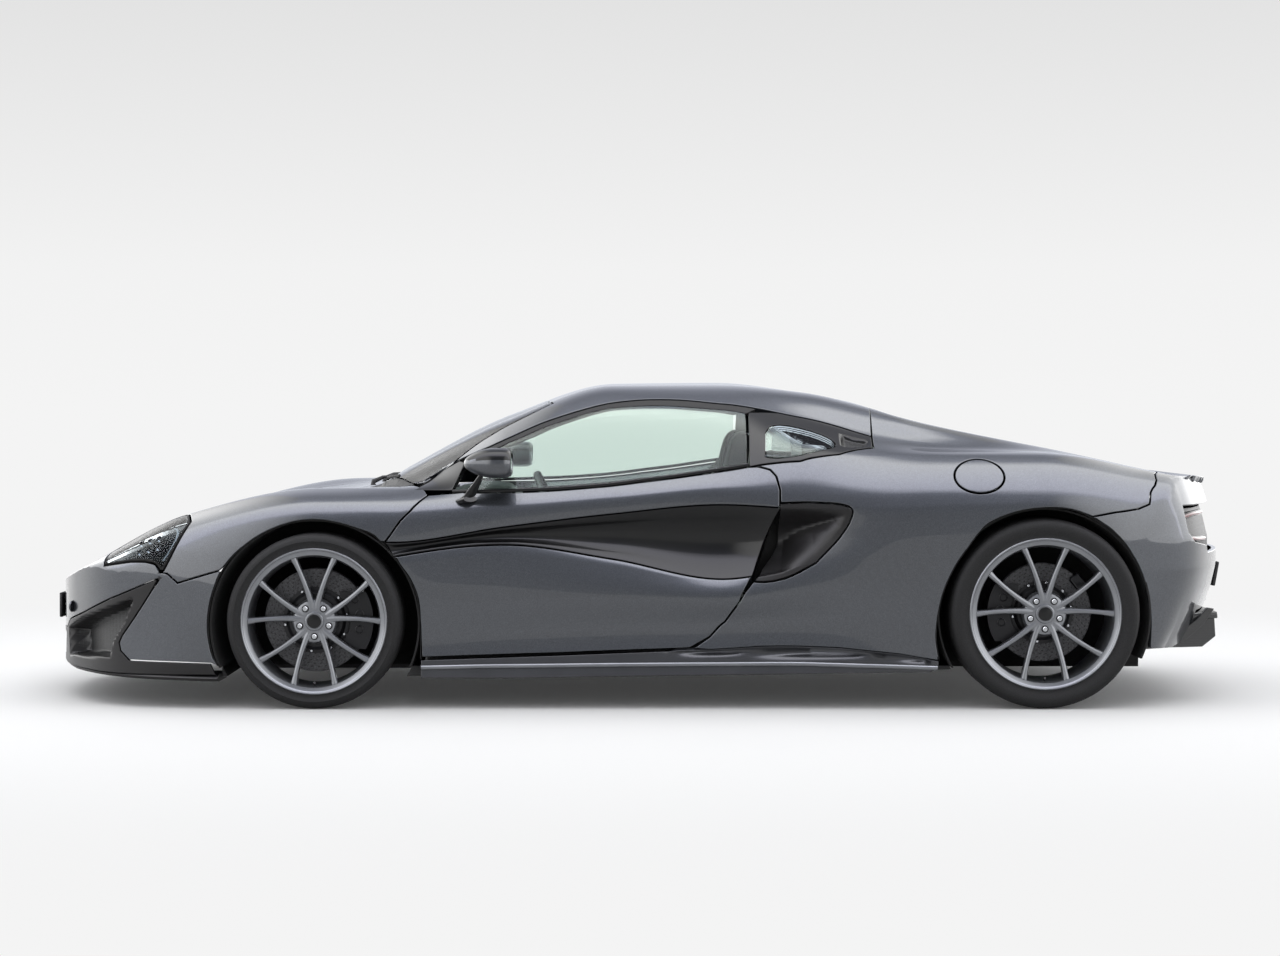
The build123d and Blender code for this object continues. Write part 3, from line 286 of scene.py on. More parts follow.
# silvered mirror: a clear pale reflection
MIRROR_GLASS = grain("glass_silvered", "#C9CDD0", "#D2D6D8", 50, 0.0, Metallic=1.0, Roughness=0.02)


# --- the skin -------------------------------------------------------------------------------------
# half-sections of the left side at stations along the car: (x, z) of twelve feature lines,
# sill, flank crease, belly, blade low, blade deep, blade top, shoulder, belt, cant rail low and top,
# roof middle and centre line
SECTIONS = {-2290: ((784, 121), (796, 197), (799, 262), (795, 317), (789, 332), (782, 353), (708, 380), (547, 390),
    (410, 396), (292, 399), (157, 402), (0, 404)), -2000: ((860, 116), (872, 210), (876, 300), (868, 380),
    (860, 420), (845, 460), (765, 525), (610, 552), (460, 558), (330, 560), (170, 562), (0, 563)),
    -1700: ((905, 112), (920, 230), (927, 340), (922, 440), (915, 500), (902, 560), (845, 648), (700, 697),
    (540, 692), (380, 685), (200, 680), (0, 678)), -1190: ((935, 112), (945, 250), (950, 380), (950, 480),
    (946, 540), (938, 610), (895, 742), (765, 800), (600, 785), (430, 770), (220, 760), (0, 757)),
    -1020: ((932, 112), (932, 240), (938, 380), (938, 520), (930, 560), (932, 608), (898, 740), (790, 799),
    (640, 800), (480, 800), (240, 802), (0, 803)), -900: ((928, 112), (918, 230), (925, 380), (926, 557),
    (908, 582), (926, 607), (900, 735), (805, 797), (650, 812), (560, 838), (300, 865), (0, 875)),
    -500: ((932, 112), (910, 265), (926, 400), (912, 601), (888, 630), (915, 662), (908, 740), (866, 796),
    (715, 985), (640, 1025), (340, 1062), (0, 1078)), -100: ((932, 118), (906, 285), (926, 420), (898, 548),
    (850, 622), (905, 710), (902, 765), (862, 821), (632, 1112), (545, 1164), (300, 1188), (0, 1196)),
    300: ((932, 124), (905, 305), (928, 420), (902, 475), (830, 600), (912, 744), (905, 800), (856, 868),
    (622, 1118), (525, 1168), (290, 1192), (0, 1200)), 620: ((934, 128), (915, 330), (936, 450), (925, 530),
    (905, 640), (925, 730), (912, 790), (842, 914), (640, 1057), (540, 1138), (290, 1156), (0, 1162)),
    880: ((940, 132), (935, 330), (944, 470), (945, 580), (942, 660), (938, 730), (918, 790), (810, 920),
    (690, 985), (560, 1090), (430, 1098), (0, 1100)), 1080: ((944, 134), (945, 330), (950, 470), (952, 590),
    (950, 670), (944, 735), (920, 800), (800, 924), (700, 955), (575, 1040), (470, 945), (0, 930)),
    1480: ((948, 150), (955, 330), (957, 470), (957, 600), (955, 680), (948, 745), (922, 805), (800, 925),
    (700, 940), (590, 958), (480, 905), (0, 890)), 1900: ((915, 190), (935, 330), (938, 450), (934, 560),
    (927, 640), (915, 700), (885, 765), (790, 862), (700, 872), (580, 875), (420, 865), (0, 855)),
    2290: ((850, 200), (882, 330), (887, 450), (882, 548), (877, 616), (862, 688), (832, 747), (766, 812),
    (653, 820), (533, 819), (396, 819), (0, 818)),}
# heights of the feature lines on the chart, and whether the section has a sharp bend there
W = np.array([0, 130, 270, 390, 450, 520, 620, 720, 1000, 1120, 1370, 1660], float)
SHARP = np.array([1, 0, 0, 1, 0, 1, 0, 0, 0, 0, 0, 0], bool)
# outline of the body seen from above, from the nose round the left side to the tail
OUTLINE = np.array([(-330, -2222), (0, -2265), (330, -2222), (600, -2125), (830, -1930), (930, -1560), (958, -1150),
    (950, -700), (948, -300), (952, 500), (958, 1400), (952, 1640), (905, 1880), (790, 2050), (420, 2205),
    (0, 2265), (-420, 2205)], float)
# how far the tail is drawn in forwards, by height
TUCK = np.array([(150, 130), (200, 115), (235, 95), (300, 62), (420, 18), (500, 0), (610, 0), (700, 22), (776, 48),
    (850, 75), (1300, 90)], float)
TUCK_START, TUCK_EASE = 1650, 400  # where along the car that begins, and how long it takes to reach its full depth
CORNER_BLEND = 18  # rounding between the section and the outline


def slopes(x, y):
    """Slopes of a smooth curve through stations that never swings past them."""
    h = np.diff(x)
    d = np.diff(y, axis=0) / h[:, None]
    m = np.zeros_like(y)
    a, b = d[:-1], d[1:]
    wide, near = (2 * h[1:] + h[:-1])[:, None], (h[1:] + 2 * h[:-1])[:, None]
    same = a * b > 0
    mean = (wide + near) / (wide / np.where(same, a, 1) + near / np.where(same, b, 1))
    m[1:-1] = np.where(same, mean, 0)
    m[0], m[-1] = d[0], d[-1]
    return m


STATIONS = np.array(sorted(SECTIONS), float)
FLAT = np.array([SECTIONS[int(y)] for y in STATIONS], float).reshape(len(STATIONS), -1)
SLOPE = slopes(STATIONS, FLAT)


def blend(t, h, p0, p1, m0, m1):
    """Cubic between two values with given slopes."""
    return ((2 * t**3 - 3 * t**2 + 1) * p0 + (t**3 - 2 * t**2 + t) * h * m0 + (3 * t**2 - 2 * t**3) * p1
        + (t**3 - t**2) * h * m1)


def rounded(points, n=40):
    """Smooth curve through all but the two end points."""
    out = []
    for k in range(1, len(points) - 2):
        p0, p1, p2, p3 = points[k - 1:k + 3]
        t1 = np.linalg.norm(p1 - p0) ** 0.5
        t2 = t1 + np.linalg.norm(p2 - p1) ** 0.5
        t3 = t2 + np.linalg.norm(p3 - p2) ** 0.5
        t = np.linspace(t1, t2, n, endpoint=False)[:, None]
        a1 = (t1 - t) / t1 * p0 + t / t1 * p1
        a2 = (t2 - t) / (t2 - t1) * p1 + (t - t1) / (t2 - t1) * p2
        a3 = (t3 - t) / (t3 - t2) * p2 + (t - t2) / (t3 - t2) * p3
        b1 = (t2 - t) / t2 * a1 + t / t2 * a2
        b2 = (t3 - t) / (t3 - t1) * a2 + (t - t1) / (t3 - t1) * a3
        out.append((t2 - t) / (t2 - t1) * b1 + (t - t1) / (t2 - t1) * b2)
    return np.vstack(out + [points[-2][None]])


PLAN = rounded(OUTLINE)
RUN = np.concatenate([[0], np.cumsum(np.linalg.norm(np.diff(PLAN, axis=0), axis=1))])
LENGTH = RUN[-1]
TOP = W[-1]


def surf(s, w):
    """Points of the skin at chart places: s runs along the outline from the nose, w up the section."""
    s = np.clip(np.asarray(s, float), 0, LENGTH)
    w = np.clip(np.asarray(w, float), 0, TOP)
    y = np.interp(s, RUN, PLAN[:, 1])
    limit = np.interp(s, RUN, PLAN[:, 0])
    yy = np.clip(y, STATIONS[0], STATIONS[-1])
    i = np.clip(np.searchsorted(STATIONS, yy, side="right") - 1, 0, len(STATIONS) - 2)
    h = (STATIONS[i + 1] - STATIONS[i])[:, None]
    lines = blend((yy - STATIONS[i])[:, None] / h, h, FLAT[i], FLAT[i + 1], SLOPE[i], SLOPE[i + 1])
    lines = lines.reshape(len(s), len(W), 2)
    k = np.clip(np.searchsorted(W, w, side="right") - 1, 0, len(W) - 2)
    t = ((w - W[k]) / (W[k + 1] - W[k]))[:, None]
    n = np.arange(len(k))
    d = np.linalg.norm(np.diff(lines, axis=1), axis=2)
    u = np.diff(lines, axis=1) / d[:, :, None]
    m = np.zeros_like(lines)
    m[:, 1:-1] = (u[:, :-1] * d[:, 1:, None] + u[:, 1:] * d[:, :-1, None]) / (d[:, :-1] + d[:, 1:])[:, :, None]
    m[:, -1] = (-1, 0)
    chord = u[n, k]
    m0, m1 = m[n, k].copy(), m[n, k + 1].copy()
    c0, c1 = SHARP[k], SHARP[k + 1]
    m0[c0 & ~c1] = (1.5 * chord - 0.5 * m1)[c0 & ~c1]
    m1[c1 & ~c0] = (1.5 * chord - 0.5 * m0)[c1 & ~c0]
    m0[c0 & c1] = m1[c0 & c1] = chord[c0 & c1]
    p = blend(t, d[n, k][:, None], lines[n, k], lines[n, k + 1], m0, m1)
    x, z = p[:, 0], p[:, 1]
    near = np.clip(0.5 + 0.5 * (limit - x) / CORNER_BLEND, 0, 1)
    inside = limit * (1 - near) + x * near - CORNER_BLEND * near * (1 - near)
    x = np.where(w >= TOP, 0, np.maximum(inside, 0))
    tail = np.clip((y - TUCK_START) / TUCK_EASE, 0, 1) ** 2
    return np.stack([x, y - np.interp(z, TUCK[:, 0], TUCK[:, 1]) * tail, z], axis=1)


def skin_normals(s, w, step=4.0):
    """Outward unit normals of the skin at chart places."""
    a = surf(s + step, w) - surf(s - step, w)
    b = surf(s, w + step) - surf(s, w - step)
    n = np.cross(a, b)
    size = np.linalg.norm(n, axis=1)[:, None]
    return n / np.maximum(size, 1e-9)


SIDE_W = np.linspace(0, 1120, 449)
TOP_W = np.linspace(520, TOP, 457)


def s_at(y):
    """How far along the outline a place on the car's length is."""
    return float(np.interp(y, PLAN[:, 1], RUN))


def w_at(s, z):
    """How far up the section the skin first reaches a height."""
    return float(np.interp(z, np.maximum.accumulate(surf(np.full(len(SIDE_W), s), SIDE_W)[:, 2]), SIDE_W))


def side(y, z):
    """Chart place of a point seen from the side."""
    aim = float(y)
    for _ in range(4):
        s = s_at(np.clip(aim, -HALF_LENGTH, HALF_LENGTH))
        w = w_at(s, z)
        aim += y - surf([s], [w])[0][1]
    return s, w


def plan(x, y):
    """Chart place of a point seen from above."""
    s = s_at(y)
    for _ in range(3):
        w = float(np.interp(-x, np.maximum.accumulate(-surf(np.full(len(TOP_W), s), TOP_W)[:, 0]), TOP_W))
        s = float(np.clip(s + y - surf([s], [w])[0][1], 0, LENGTH))
    return s, w


def front(x, z, tail=False):
    """Chart place of a point seen from the front, or from the back."""
    h = len(PLAN) // 2
    s = (np.interp(-x, -PLAN[h:, 0], RUN[h:]) if tail else np.interp(x, PLAN[:h, 0], RUN[:h]))
    return float(s), w_at(s, z)


def sides(*points):
    """Chart places of points (y, z) seen from the side."""
    return [side(*p) for p in points]


def plans(*points):
    """Chart places of points (x, y) seen from above."""
    return [plan(*p) for p in points]


def fronts(*points, tail=False):
    """Chart places of points (x, z) seen from the front, or from the back."""
    return [front(*p, tail) for p in points]


def off_skin(place, height):
    """A point at a height over a chart place, or below it."""
    s, w = (np.array([v]) for v in place)
    return surf(s, w)[0] + skin_normals(s, w)[0] * height


# --- panels ---------------------------------------------------------------------------------------
def densify(outline, step):
    """Outline with points no further apart than a step."""
    out = []
    for a, b in zip(outline, outline[1:] + outline[:1]):
        n = max(1, math.ceil(math.dist(a, b) / step))
        out += [(a[0] + (b[0] - a[0]) * i / n, a[1] + (b[1] - a[1]) * i / n) for i in range(n)]
    return out


def through(points, n):
    """Smooth curve through all the points."""
    p = np.array(points, float)
    return rounded(np.vstack([2 * p[0] - p[1], p, 2 * p[-1] - p[-2]]), n)


def smooth_line(points, n):
    """Smooth curve through chart points."""
    return [tuple(p) for p in through(points, n)]


def lofted(name, verts, faces, mats, face_mat=None, sharp=35.0):
    """Mesh object from points in millimetres."""
    mesh = bpy.data.meshes.new(name)
    mesh.from_pydata([tuple(float(c) * MM for c in v) for v in verts], [], faces)
    for m in mats:
        mesh.materials.append(m)
    if face_mat is not None:
        mesh.polygons.foreach_set("material_index", face_mat)
    mesh.shade_smooth()
    made = bpy.data.objects.new(name, mesh)
    COLLECTION.objects.link(made)
    if sharp is not None:
        mesh.set_sharp_from_angle(angle=math.radians(sharp))
    return made


def twisted_area(points):
    """Area of a chart outline, below zero when it runs clockwise."""
    x, y = np.array(points).T
    return 0.5 * float(np.sum(x * np.roll(y, -1) - np.roll(x, -1) * y))


ROUND = 0.29  # how far the middle of a rounded edge lies from its corner, in parts of its radius


def unit(vectors):
    """Vectors at length one, and next to nothing left as it is."""
    return vectors / np.maximum(np.linalg.norm(vectors, axis=1)[:, None], 1e-9)


def to_edges(points, a, b):
    """Distance of each point from the nearest edge between a and b."""
    ab = b - a
    t = np.clip(((points[:, None] - a) * ab).sum(2) / np.maximum((ab**2).sum(1), 1e-9), 0, 1)
    return np.linalg.norm(points[:, None] - (a + t[:, :, None] * ab), axis=2).min(axis=1)


def enclosed(points, a, b):
    """Whether each point lies inside the outline whose edges run from a to b."""
    ab = b - a
    cross = (a[:, 1] > points[:, 1:2]) != (b[:, 1] > points[:, 1:2])
    at = a[:, 0] + (points[:, 1:2] - a[:, 1]) / np.where(ab[:, 1] == 0, 1, ab[:, 1]) * ab[:, 0]
    return (cross & (points[:, 0:1] < at)).sum(axis=1) % 2 == 1


def filled(loops, step, grid):
    """Chart places and triangles that fill the loops, on a regular net kept off their edges."""
    flat, bounds = [], []
    for loop in loops:
        bounds += [(len(flat) + i, len(flat) + (i + 1) % len(loop)) for i in range(len(loop))]
        flat += loop
    flat = np.array(flat)
    lo, hi = flat.min(axis=0), flat.max(axis=0)
    ss = np.arange(math.floor(lo[0] / grid) * grid, hi[0] + grid, grid)
    ws = np.unique(np.concatenate([
        np.linspace(a, b, max(2, math.ceil((b - a) / grid) + 1)) for a, b in zip(W, W[1:])]))
    net = np.array([(s, w) for s in ss for w in ws if lo[0] < s < hi[0] and lo[1] < w < hi[1]]).reshape(-1, 2)
    a, b = flat[[e[0] for e in bounds]], flat[[e[1] for e in bounds]]
    if len(net):
        net = net[enclosed(net, a, b) & (to_edges(net, a, b) > min(grid, step) * 0.45)]
    points, _, faces, _, _, _ = delaunay_2d_cdt([Vector(p) for p in (*flat, *net)], bounds, [], 0, 1e-5)
    places = np.array([tuple(p) for p in points])
    middles = np.array([places[list(f)].mean(axis=0) for f in faces])
    within = enclosed(middles, a, b)
    return places, [tuple(f) for f, ok in zip(faces, within) if ok], middles[within]


def panel(name, outline, mat, gap=2.0, edge=2.5, wall=10.0, step=16.0, grid=24.0, dip=None, holes=(), edge_mat=None,
        both=False, deep=None):
    """A panel of the skin: its outline on the chart, drawn in by the gap, with a rolled edge and a
    folded wall behind. both makes one piece of the two halves, whose edges on the centre line are
    left open to meet. deep is a material and the sinking past which it shows."""
    loops = [densify(list(outline), step)] + [densify(list(hole), step) for hole in holes]
    for i, loop in enumerate(loops):
        if (twisted_area(loop) < 0) == (i == 0):
            loop.reverse()
    places, faces, middles = filled(loops, step, grid)
    s, w = places.T
    skin, normals = surf(s, w), skin_normals(s, w)
    if dip is not None:
        # a dished area: sunk along the normal, with normals taken again from the sunken shape
        def sunk(s, w):
            return surf(s, w) - skin_normals(s, w) * dip(s, w)[:, None]
        skin = sunk(s, w)
        e = 3.0  # half a step of the slope
        normals = unit(np.cross(sunk(s + e, w) - sunk(s - e, w), sunk(s, w + e) - sunk(s, w - e)))
    verts, vnormals, out_faces = list(skin), list(normals), list(faces)
    inner = {}
    offset = 0
    for loop in loops:
        n = len(loop)
        ids = np.arange(offset, offset + n)
        p, nn, lp = skin[ids], normals[ids], np.array(loop)
        centred = both & ((lp[:, 1] > TOP - 0.5) | (lp[:, 0] < 0.5) | (lp[:, 0] > LENGTH - 0.5))
        seam = centred & np.roll(centred, -1)
        outward = np.cross(unit(np.roll(p, -1, axis=0) - p), nn)
        outward[seam] = 0
        total = outward + np.roll(outward, 1, axis=0)
        size = np.linalg.norm(total, axis=1)[:, None]
        bisect = total / np.maximum(size, 1e-9)
        # mitred, except at sharp corners and beside the centre line
        mitre = (size > 1.2) & ~(seam | np.roll(seam, 1))[:, None]
        bisect *= np.where(mitre, 2 / np.maximum(size, 1e-9), 1.0)
        base = len(verts)
        for j, point in enumerate(p - bisect * (gap + edge)):
            verts[ids[j]] = point
        for inset, sink, turned_to in ((gap + edge * ROUND, edge * ROUND, (nn + bisect) * 0.7071),
                                       (gap, edge, bisect), (gap, wall, bisect)):
            verts += list(p - bisect * inset - nn * sink)
            vnormals += list(unit(turned_to))
        for j in np.nonzero(~seam)[0]:
            q = (j + 1) % n
            rows = [(ids[j], ids[q])] + [(base + k * n + j, base + k * n + q) for k in range(3)]
            out_faces += [(r0, s0, s1, r1) for (r0, r1), (s0, s1) in zip(rows, rows[1:])]
        inner.update({ids[j]: base + 2 * n + j for j in range(n)})
        offset += n
    # the back face, joined to the folded edge
    for v in range(offset, len(places)):
        inner[v] = len(verts)
        verts.append(skin[v] - normals[v] * wall)
        vnormals.append(-normals[v])
    face_mat = [0] * len(out_faces) + [1] * len(faces)
    out_faces += [tuple(inner[v] for v in reversed(f)) for f in faces]
    if deep:
        for i in np.nonzero(dip(*middles.T) > deep[1])[0]:
            face_mat[i] = 2
    mats = [mat, edge_mat or mat, deep[0] if deep else mat]
    verts, vnormals = np.array(verts), np.array(vnormals)
    flipped, back_faces = (-1, 1, 1), [tuple(reversed(f)) for f in out_faces]
    shapes = [("_left", verts, vnormals, out_faces, face_mat),
              ("_right", verts * flipped, vnormals * flipped, back_faces, face_mat)]
    if both:
        shapes = [("", np.vstack([verts, verts * flipped]), np.vstack([vnormals, vnormals * flipped]),
                   out_faces + [tuple(v + len(verts) for v in f) for f in back_faces], face_mat * 2)]
    pieces = []
    for tag, points, turned_to, joined_faces, marks in shapes:
        made = lofted(name + tag, points, joined_faces, mats, marks, sharp=None)
        looks = turned_to[[loop.vertex_index for loop in made.data.loops]]
        # the back keeps its own flat look
        for poly in made.data.polygons:
            if marks[poly.index] == 1:
                looks[list(poly.loop_indices)] = poly.normal
        made.data.normals_split_custom_set([tuple(v) for v in looks])
        pieces.append(made)
    return pieces[0] if both else pieces


def mirrored(obj, name):
    """The right-hand twin of a left-hand piece, with its own mesh."""
    mesh = obj.data.copy()
    mesh.transform(Matrix.Diagonal((-1, 1, 1, 1)))
    mesh.flip_normals()
    made = bpy.data.objects.new(name, mesh)
    mesh.name = name
    COLLECTION.objects.link(made)
    return made


# --- solid shapes ---------------------------------------------------------------------------------
def select_only(*objs):
    """Selects these objects and makes the first one active."""
    bpy.ops.object.select_all(action="DESELECT")
    for obj in objs:
        obj.select_set(True)
    bpy.context.view_layer.objects.active = objs[0] if objs else None


def worked(name, mat):
    """The active object, named, with one material, ready to be shaped in edit mode."""
    obj = bpy.context.active_object
    obj.name = obj.data.name = name
    obj.data.materials.append(mat)
    return obj


def settled(obj, bevel):
    """Bakes the object's place into its mesh, rounds its sharp edges and shades it."""
    select_only(obj)
    bpy.ops.object.transform_apply(location=True, rotation=True, scale=True)
    cut = obj.modifiers.new("edges", "BEVEL")
    cut.width, cut.segments, cut.limit_method = bevel * MM, 2, "ANGLE"
    cut.angle_limit, cut.harden_normals = math.radians(30), True
    bpy.ops.object.modifier_apply(modifier=cut.name)
    bpy.ops.object.shade_smooth_by_angle(angle=math.radians(35))
    return obj


def block(name, mat, centre, size, turn=(0, 0, 0), bevel=2.0, taper=1.0):
    """A moulded block: a cube at its place, its top face drawn in, edges rounded."""
    select_only()
    bpy.ops.mesh.primitive_cube_add(size=1, location=[c * MM for c in centre], rotation=[math.radians(t)
        for t in turn])
    obj = worked(name, mat)
    obj.scale = [s * MM for s in size]
    if taper != 1.0:
        bpy.ops.object.mode_set(mode="EDIT")
        mesh = bmesh.from_edit_mesh(obj.data)
        for face in mesh.faces:
            face.select = face.normal.z > 0.5
        bmesh.update_edit_mesh(obj.data)
        bpy.ops.transform.resize(value=(taper, taper, 1), center_override=obj.location)
        bpy.ops.object.mode_set(mode="OBJECT")
    return settled(obj, bevel)


def joined(name, *parts):
    """Several pieces as one object, at the origin."""
    select_only(*parts)
    if len(parts) > 1:
        bpy.ops.object.join()
    parts[0].name = parts[0].data.name = name
    return parts[0]


def moved(obj, at, turn=0.0, axis="Z"):
    """Turns a piece about the origin, then shifts it by millimetres."""
    obj.data.transform(Matrix.Translation(Vector(at) * MM) @ Matrix.Rotation(turn, 4, axis))
    return obj


def turned(name, mat, profile, centre=(0, 0, 0), n=64, sharp=30.0):
    """A part of revolution about X through centre: profile points are (x, radius)."""
    cx, cy, cz = centre
    verts, faces, m = [], [], len(profile)
    for j in range(n):
        a = 2 * math.pi * j / n
        verts += [(cx + x, cy + r * math.cos(a), cz + r * math.sin(a)) for x, r in profile]
        q = (j + 1) % n
        for i in range(m - 1):
            face = (j * m + i, j * m + i + 1, q * m + i + 1, q * m + i)
            # on the axis, a face is a triangle
            faces.append(face[:3] if profile[i][1] < 0.01 else
                         (*face[:2], face[3]) if profile[i + 1][1] < 0.01 else face)
    return cleaned(lofted(name, verts, faces, [mat], sharp=sharp))


def grid_faces(rows, n, closed=False):
    """Faces of a tube of rows of n points, with a cap at each end unless it is closed."""
    faces = [(i * n + k, i * n + (k + 1) % n, (i + 1) % rows * n + (k + 1) % n, (i + 1) % rows * n + k)
        for i in range(rows if closed else rows - 1) for k in range(n)]
    return faces if closed else faces + [tuple(range(n)), tuple((rows - 1) * n + k for k in reversed(range(n)))]


def cleaned(obj):
    """Doubled points merged and faces turned outwards."""
    mesh = bmesh.new()
    mesh.from_mesh(obj.data)
    bmesh.ops.remove_doubles(mesh, verts=mesh.verts, dist=1e-6)
    bmesh.ops.recalc_face_normals(mesh, faces=mesh.faces)
    mesh.to_mesh(obj.data)
    mesh.free()
    return obj


def tube(name, mat, path, radius, n=10, squash=(1, 1), closed=False):
    """A round bar or lip along a path in millimetres; squash flattens it (width, height)."""
    p = np.array(path, float)
    d = np.gradient(p, axis=0) if not closed else np.roll(p, -1, axis=0) - np.roll(p, 1, axis=0)
    d /= np.linalg.norm(d, axis=1)[:, None]
    across = np.cross(d, (1.0, 0, 0) if abs(d[:, 2]).max() > 0.9 else (0, 0, 1.0))
    across /= np.linalg.norm(across, axis=1)[:, None]
    top = np.cross(across, d)
    r = np.broadcast_to(radius, len(p))
    verts = []
    for i in range(len(p)):
        for a in (2 * math.pi * (k + 0.5) / n for k in range(n)):
            verts.append(p[i] + across[i] * math.cos(a) * r[i] * squash[0]
                + top[i] * math.sin(a) * r[i] * squash[1])
    return cleaned(lofted(name, verts, grid_faces(len(p), n, closed), [mat], sharp=50))


def slab(name, mat, outline, low, high, bevel=2.0):
    """A plate with an outline of (y, z) between two places across the car, edges rounded."""
    n = len(outline)
    verts = [(x, *p) for x in (low, high) for p in outline]
    faces = [tuple(reversed(range(n))), tuple(range(n, 2 * n))]
    faces += [(i, (i + 1) % n, n + (i + 1) % n, n + i) for i in range(n)]
    return settled(cleaned(lofted(name, verts, faces, [mat])), bevel)


def place(obj, body, slot, *nodes):
    """Hangs a piece on its body and hides the CAD nodes it stands for; slot is not used."""
    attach(obj, body)
    if nodes:
        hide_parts(*nodes)


def place_pair(pair, body, slot, *nodes):
    """Places a left and a right piece; {} in a name stands for the side."""
    for obj, tag in zip(pair, SIDES):
        place(obj, body.format(tag), slot, *(name.format(tag) for name in nodes))


def joined_pair(name, *pairs):
    """Left and right pieces, each joined with its own side's parts."""
    return [joined(name.format(tag), *parts) for tag, parts in zip(SIDES, zip(*pairs))]


def twins(*objs):
    """Each left piece with its right-hand twin."""
    return [(obj, mirrored(obj, obj.name + "_r")) for obj in objs]


# --- body panels ----------------------------------------------------------------------------------
SHUT = 3.0  # half of a fixed seam
OPEN = 4.0  # half of a shut line beside a panel that moves
DOOR_FRONT = sides((-779, 780), (-840, 724), (-876, 688), (-912, 637), (-931, 611))
DOOR_REAR_LOW = sides((412, 466), (365, 391), (311, 316), (256, 262), (183, 221), (146, 219))
DOOR_FOOT = sides((-146, 209), (-291, 203), (-550, 195), (-800, 187))
DOOR_BELT = sides((300, 868), (147, 846), (0, 828), (-147, 810), (-293, 799), (-440, 792), (-558, 790),
    (-642, 790), (-700, 787))
ARCH_FRONT = sides((-1536, 152), (-1562, 190), (-1580, 290), (-1568, 400), (-1531, 500), (-1459, 585), (-1350, 655),
    (-1193, 692), (-1040, 662), (-948, 612), (-890, 548), (-840, 473), (-812, 400), (-806, 326),
    (-803, 253), (-803, 180))
ARCH_REAR = sides((1092, 178), (1081, 255), (1085, 328), (1110, 438), (1164, 547), (1255, 667), (1364, 719),
    (1481, 736), (1600, 722), (1707, 665), (1790, 575), (1843, 470), (1866, 380), (1872, 300), (1872, 235))
ARCH_FRONT, ARCH_REAR = smooth_line(ARCH_FRONT, 4), smooth_line(ARCH_REAR, 4)


def arch_part(arch, low, high):
    """The part of an arch's edge from one marked place up to another, counted from its front foot."""
    return arch[4 * low:4 * (high - 1) + 1]


def distance_in(points, loop):
    """How far inside a closed chart outline each point is, and 0 outside."""
    a = np.array(loop, float)
    b = np.roll(a, -1, axis=0)
    return np.where(enclosed(points, a, b), to_edges(points, a, b), 0.0)


def pocket(*wells):
    """A sinking of the skin: each well is (outline, depth, width of its slope)."""
    def dip(s, w):
        p = np.stack([s, w], axis=1)
        deep = np.zeros(len(p))
        for loop, depth, width in wells:
            t = np.clip(distance_in(p, loop) / width, 0, 1)
            deep = np.maximum(deep, depth * t * t * (3 - 2 * t))
        return deep
    return dip


def grown(loop, by):
    """Chart outline moved outwards, or inwards when by is below zero."""
    a = np.array(loop, float)
    if twisted_area(loop) < 0:
        a = a[::-1]
    d = np.roll(a, -1, axis=0) - a
    d /= np.maximum(np.linalg.norm(d, axis=1)[:, None], 1e-9)
    n = np.stack([d[:, 1], -d[:, 0]], axis=1)
    m = n + np.roll(n, 1, axis=0)
    m /= np.maximum((np.linalg.norm(m, axis=1)[:, None] ** 2) / 2, 0.5)
    return [tuple(p) for p in a + m * by]


BONNET_EDGE = smooth_line(plans((0, -1985), (160, -1980), (300, -1965), (400, -1937), (474, -1890), (530, -1800),
    (562, -1690), (580, -1550), (586, -1400), (590, -1200), (590, -1061)), 3)
S_NOSE, S_BONNET = s_at(-1985), s_at(-1061)
SCREEN_FOOT = smooth_line(plans((0, -1012), (150, -1005), (300, -985), (430, -955), (540, -915), (630, -872),
    (690, -838)), 3)
SCREEN_SIDE = smooth_line(plans((690, -838), (684, -770), (676, -700), (652, -600), (622, -500), (590, -400),
    (560, -330)), 3)
SCREEN_HEAD = smooth_line(plans((560, -330), (420, -345), (280, -355), (140, -362), (0, -365)), 3)
FRAME = smooth_line(sides((-848, 800), (-748, 870), (-664, 912), (-570, 953), (-521, 975), (-447, 1009),
    (-373, 1042), (-299, 1068), (-225, 1091), (-150, 1111), (-75, 1124), (0, 1131), (75, 1133), (151, 1131),
    (226, 1125), (300, 1117), (435, 1099), (600, 1066), (749, 1029), (866, 994)), 2)
REAR_GLASS_SIDE = plans((430, 880), (440, 940), (448, 1010), (455, 1068))
DECK_SIDE = plans((455, 1072), (488, 1290), (520, 1500), (560, 1730), (600, 1958))
QUARTER_SILL = sides((866, 952), (735, 929), (588, 904), (440, 890), (400, 882))
INTAKE_BACK = smooth_line(sides((513, 753), (586, 756), (657, 755), (728, 750), (762, 741), (776, 725), (773, 703),
    (751, 656), (709, 602), (655, 547), (582, 500), (527, 476), (455, 463), (414, 466)), 2)
TAIL_SEAM = smooth_line(sides((1995, 880), (1950, 866), (1904, 834), (1874, 790), (1866, 748)), 3)
TAIL_SEAM += sides((1822, 731), (1710, 714), (1650, 703))
SKIRT_TOP = sides((-803, 179), (-550, 187), (-291, 196), (146, 213), (250, 215), (437, 227), (728, 223),
    (946, 201), (1091, 177))
WING_EDGE = plans((690, 1976), (684, 2010), (668, 2050), (640, 2082), (560, 2112), (450, 2142), (330, 2166),
    (200, 2178), (90, 2184), (0, 2186))

place(panel("bonnet_skin", [(S_NOSE, TOP)] + BONNET_EDGE[1:] + [(S_BONNET, TOP)], PAINT, gap=OPEN, both=True,
    wall=22), "bonnet", "body_paint", "bonnet")

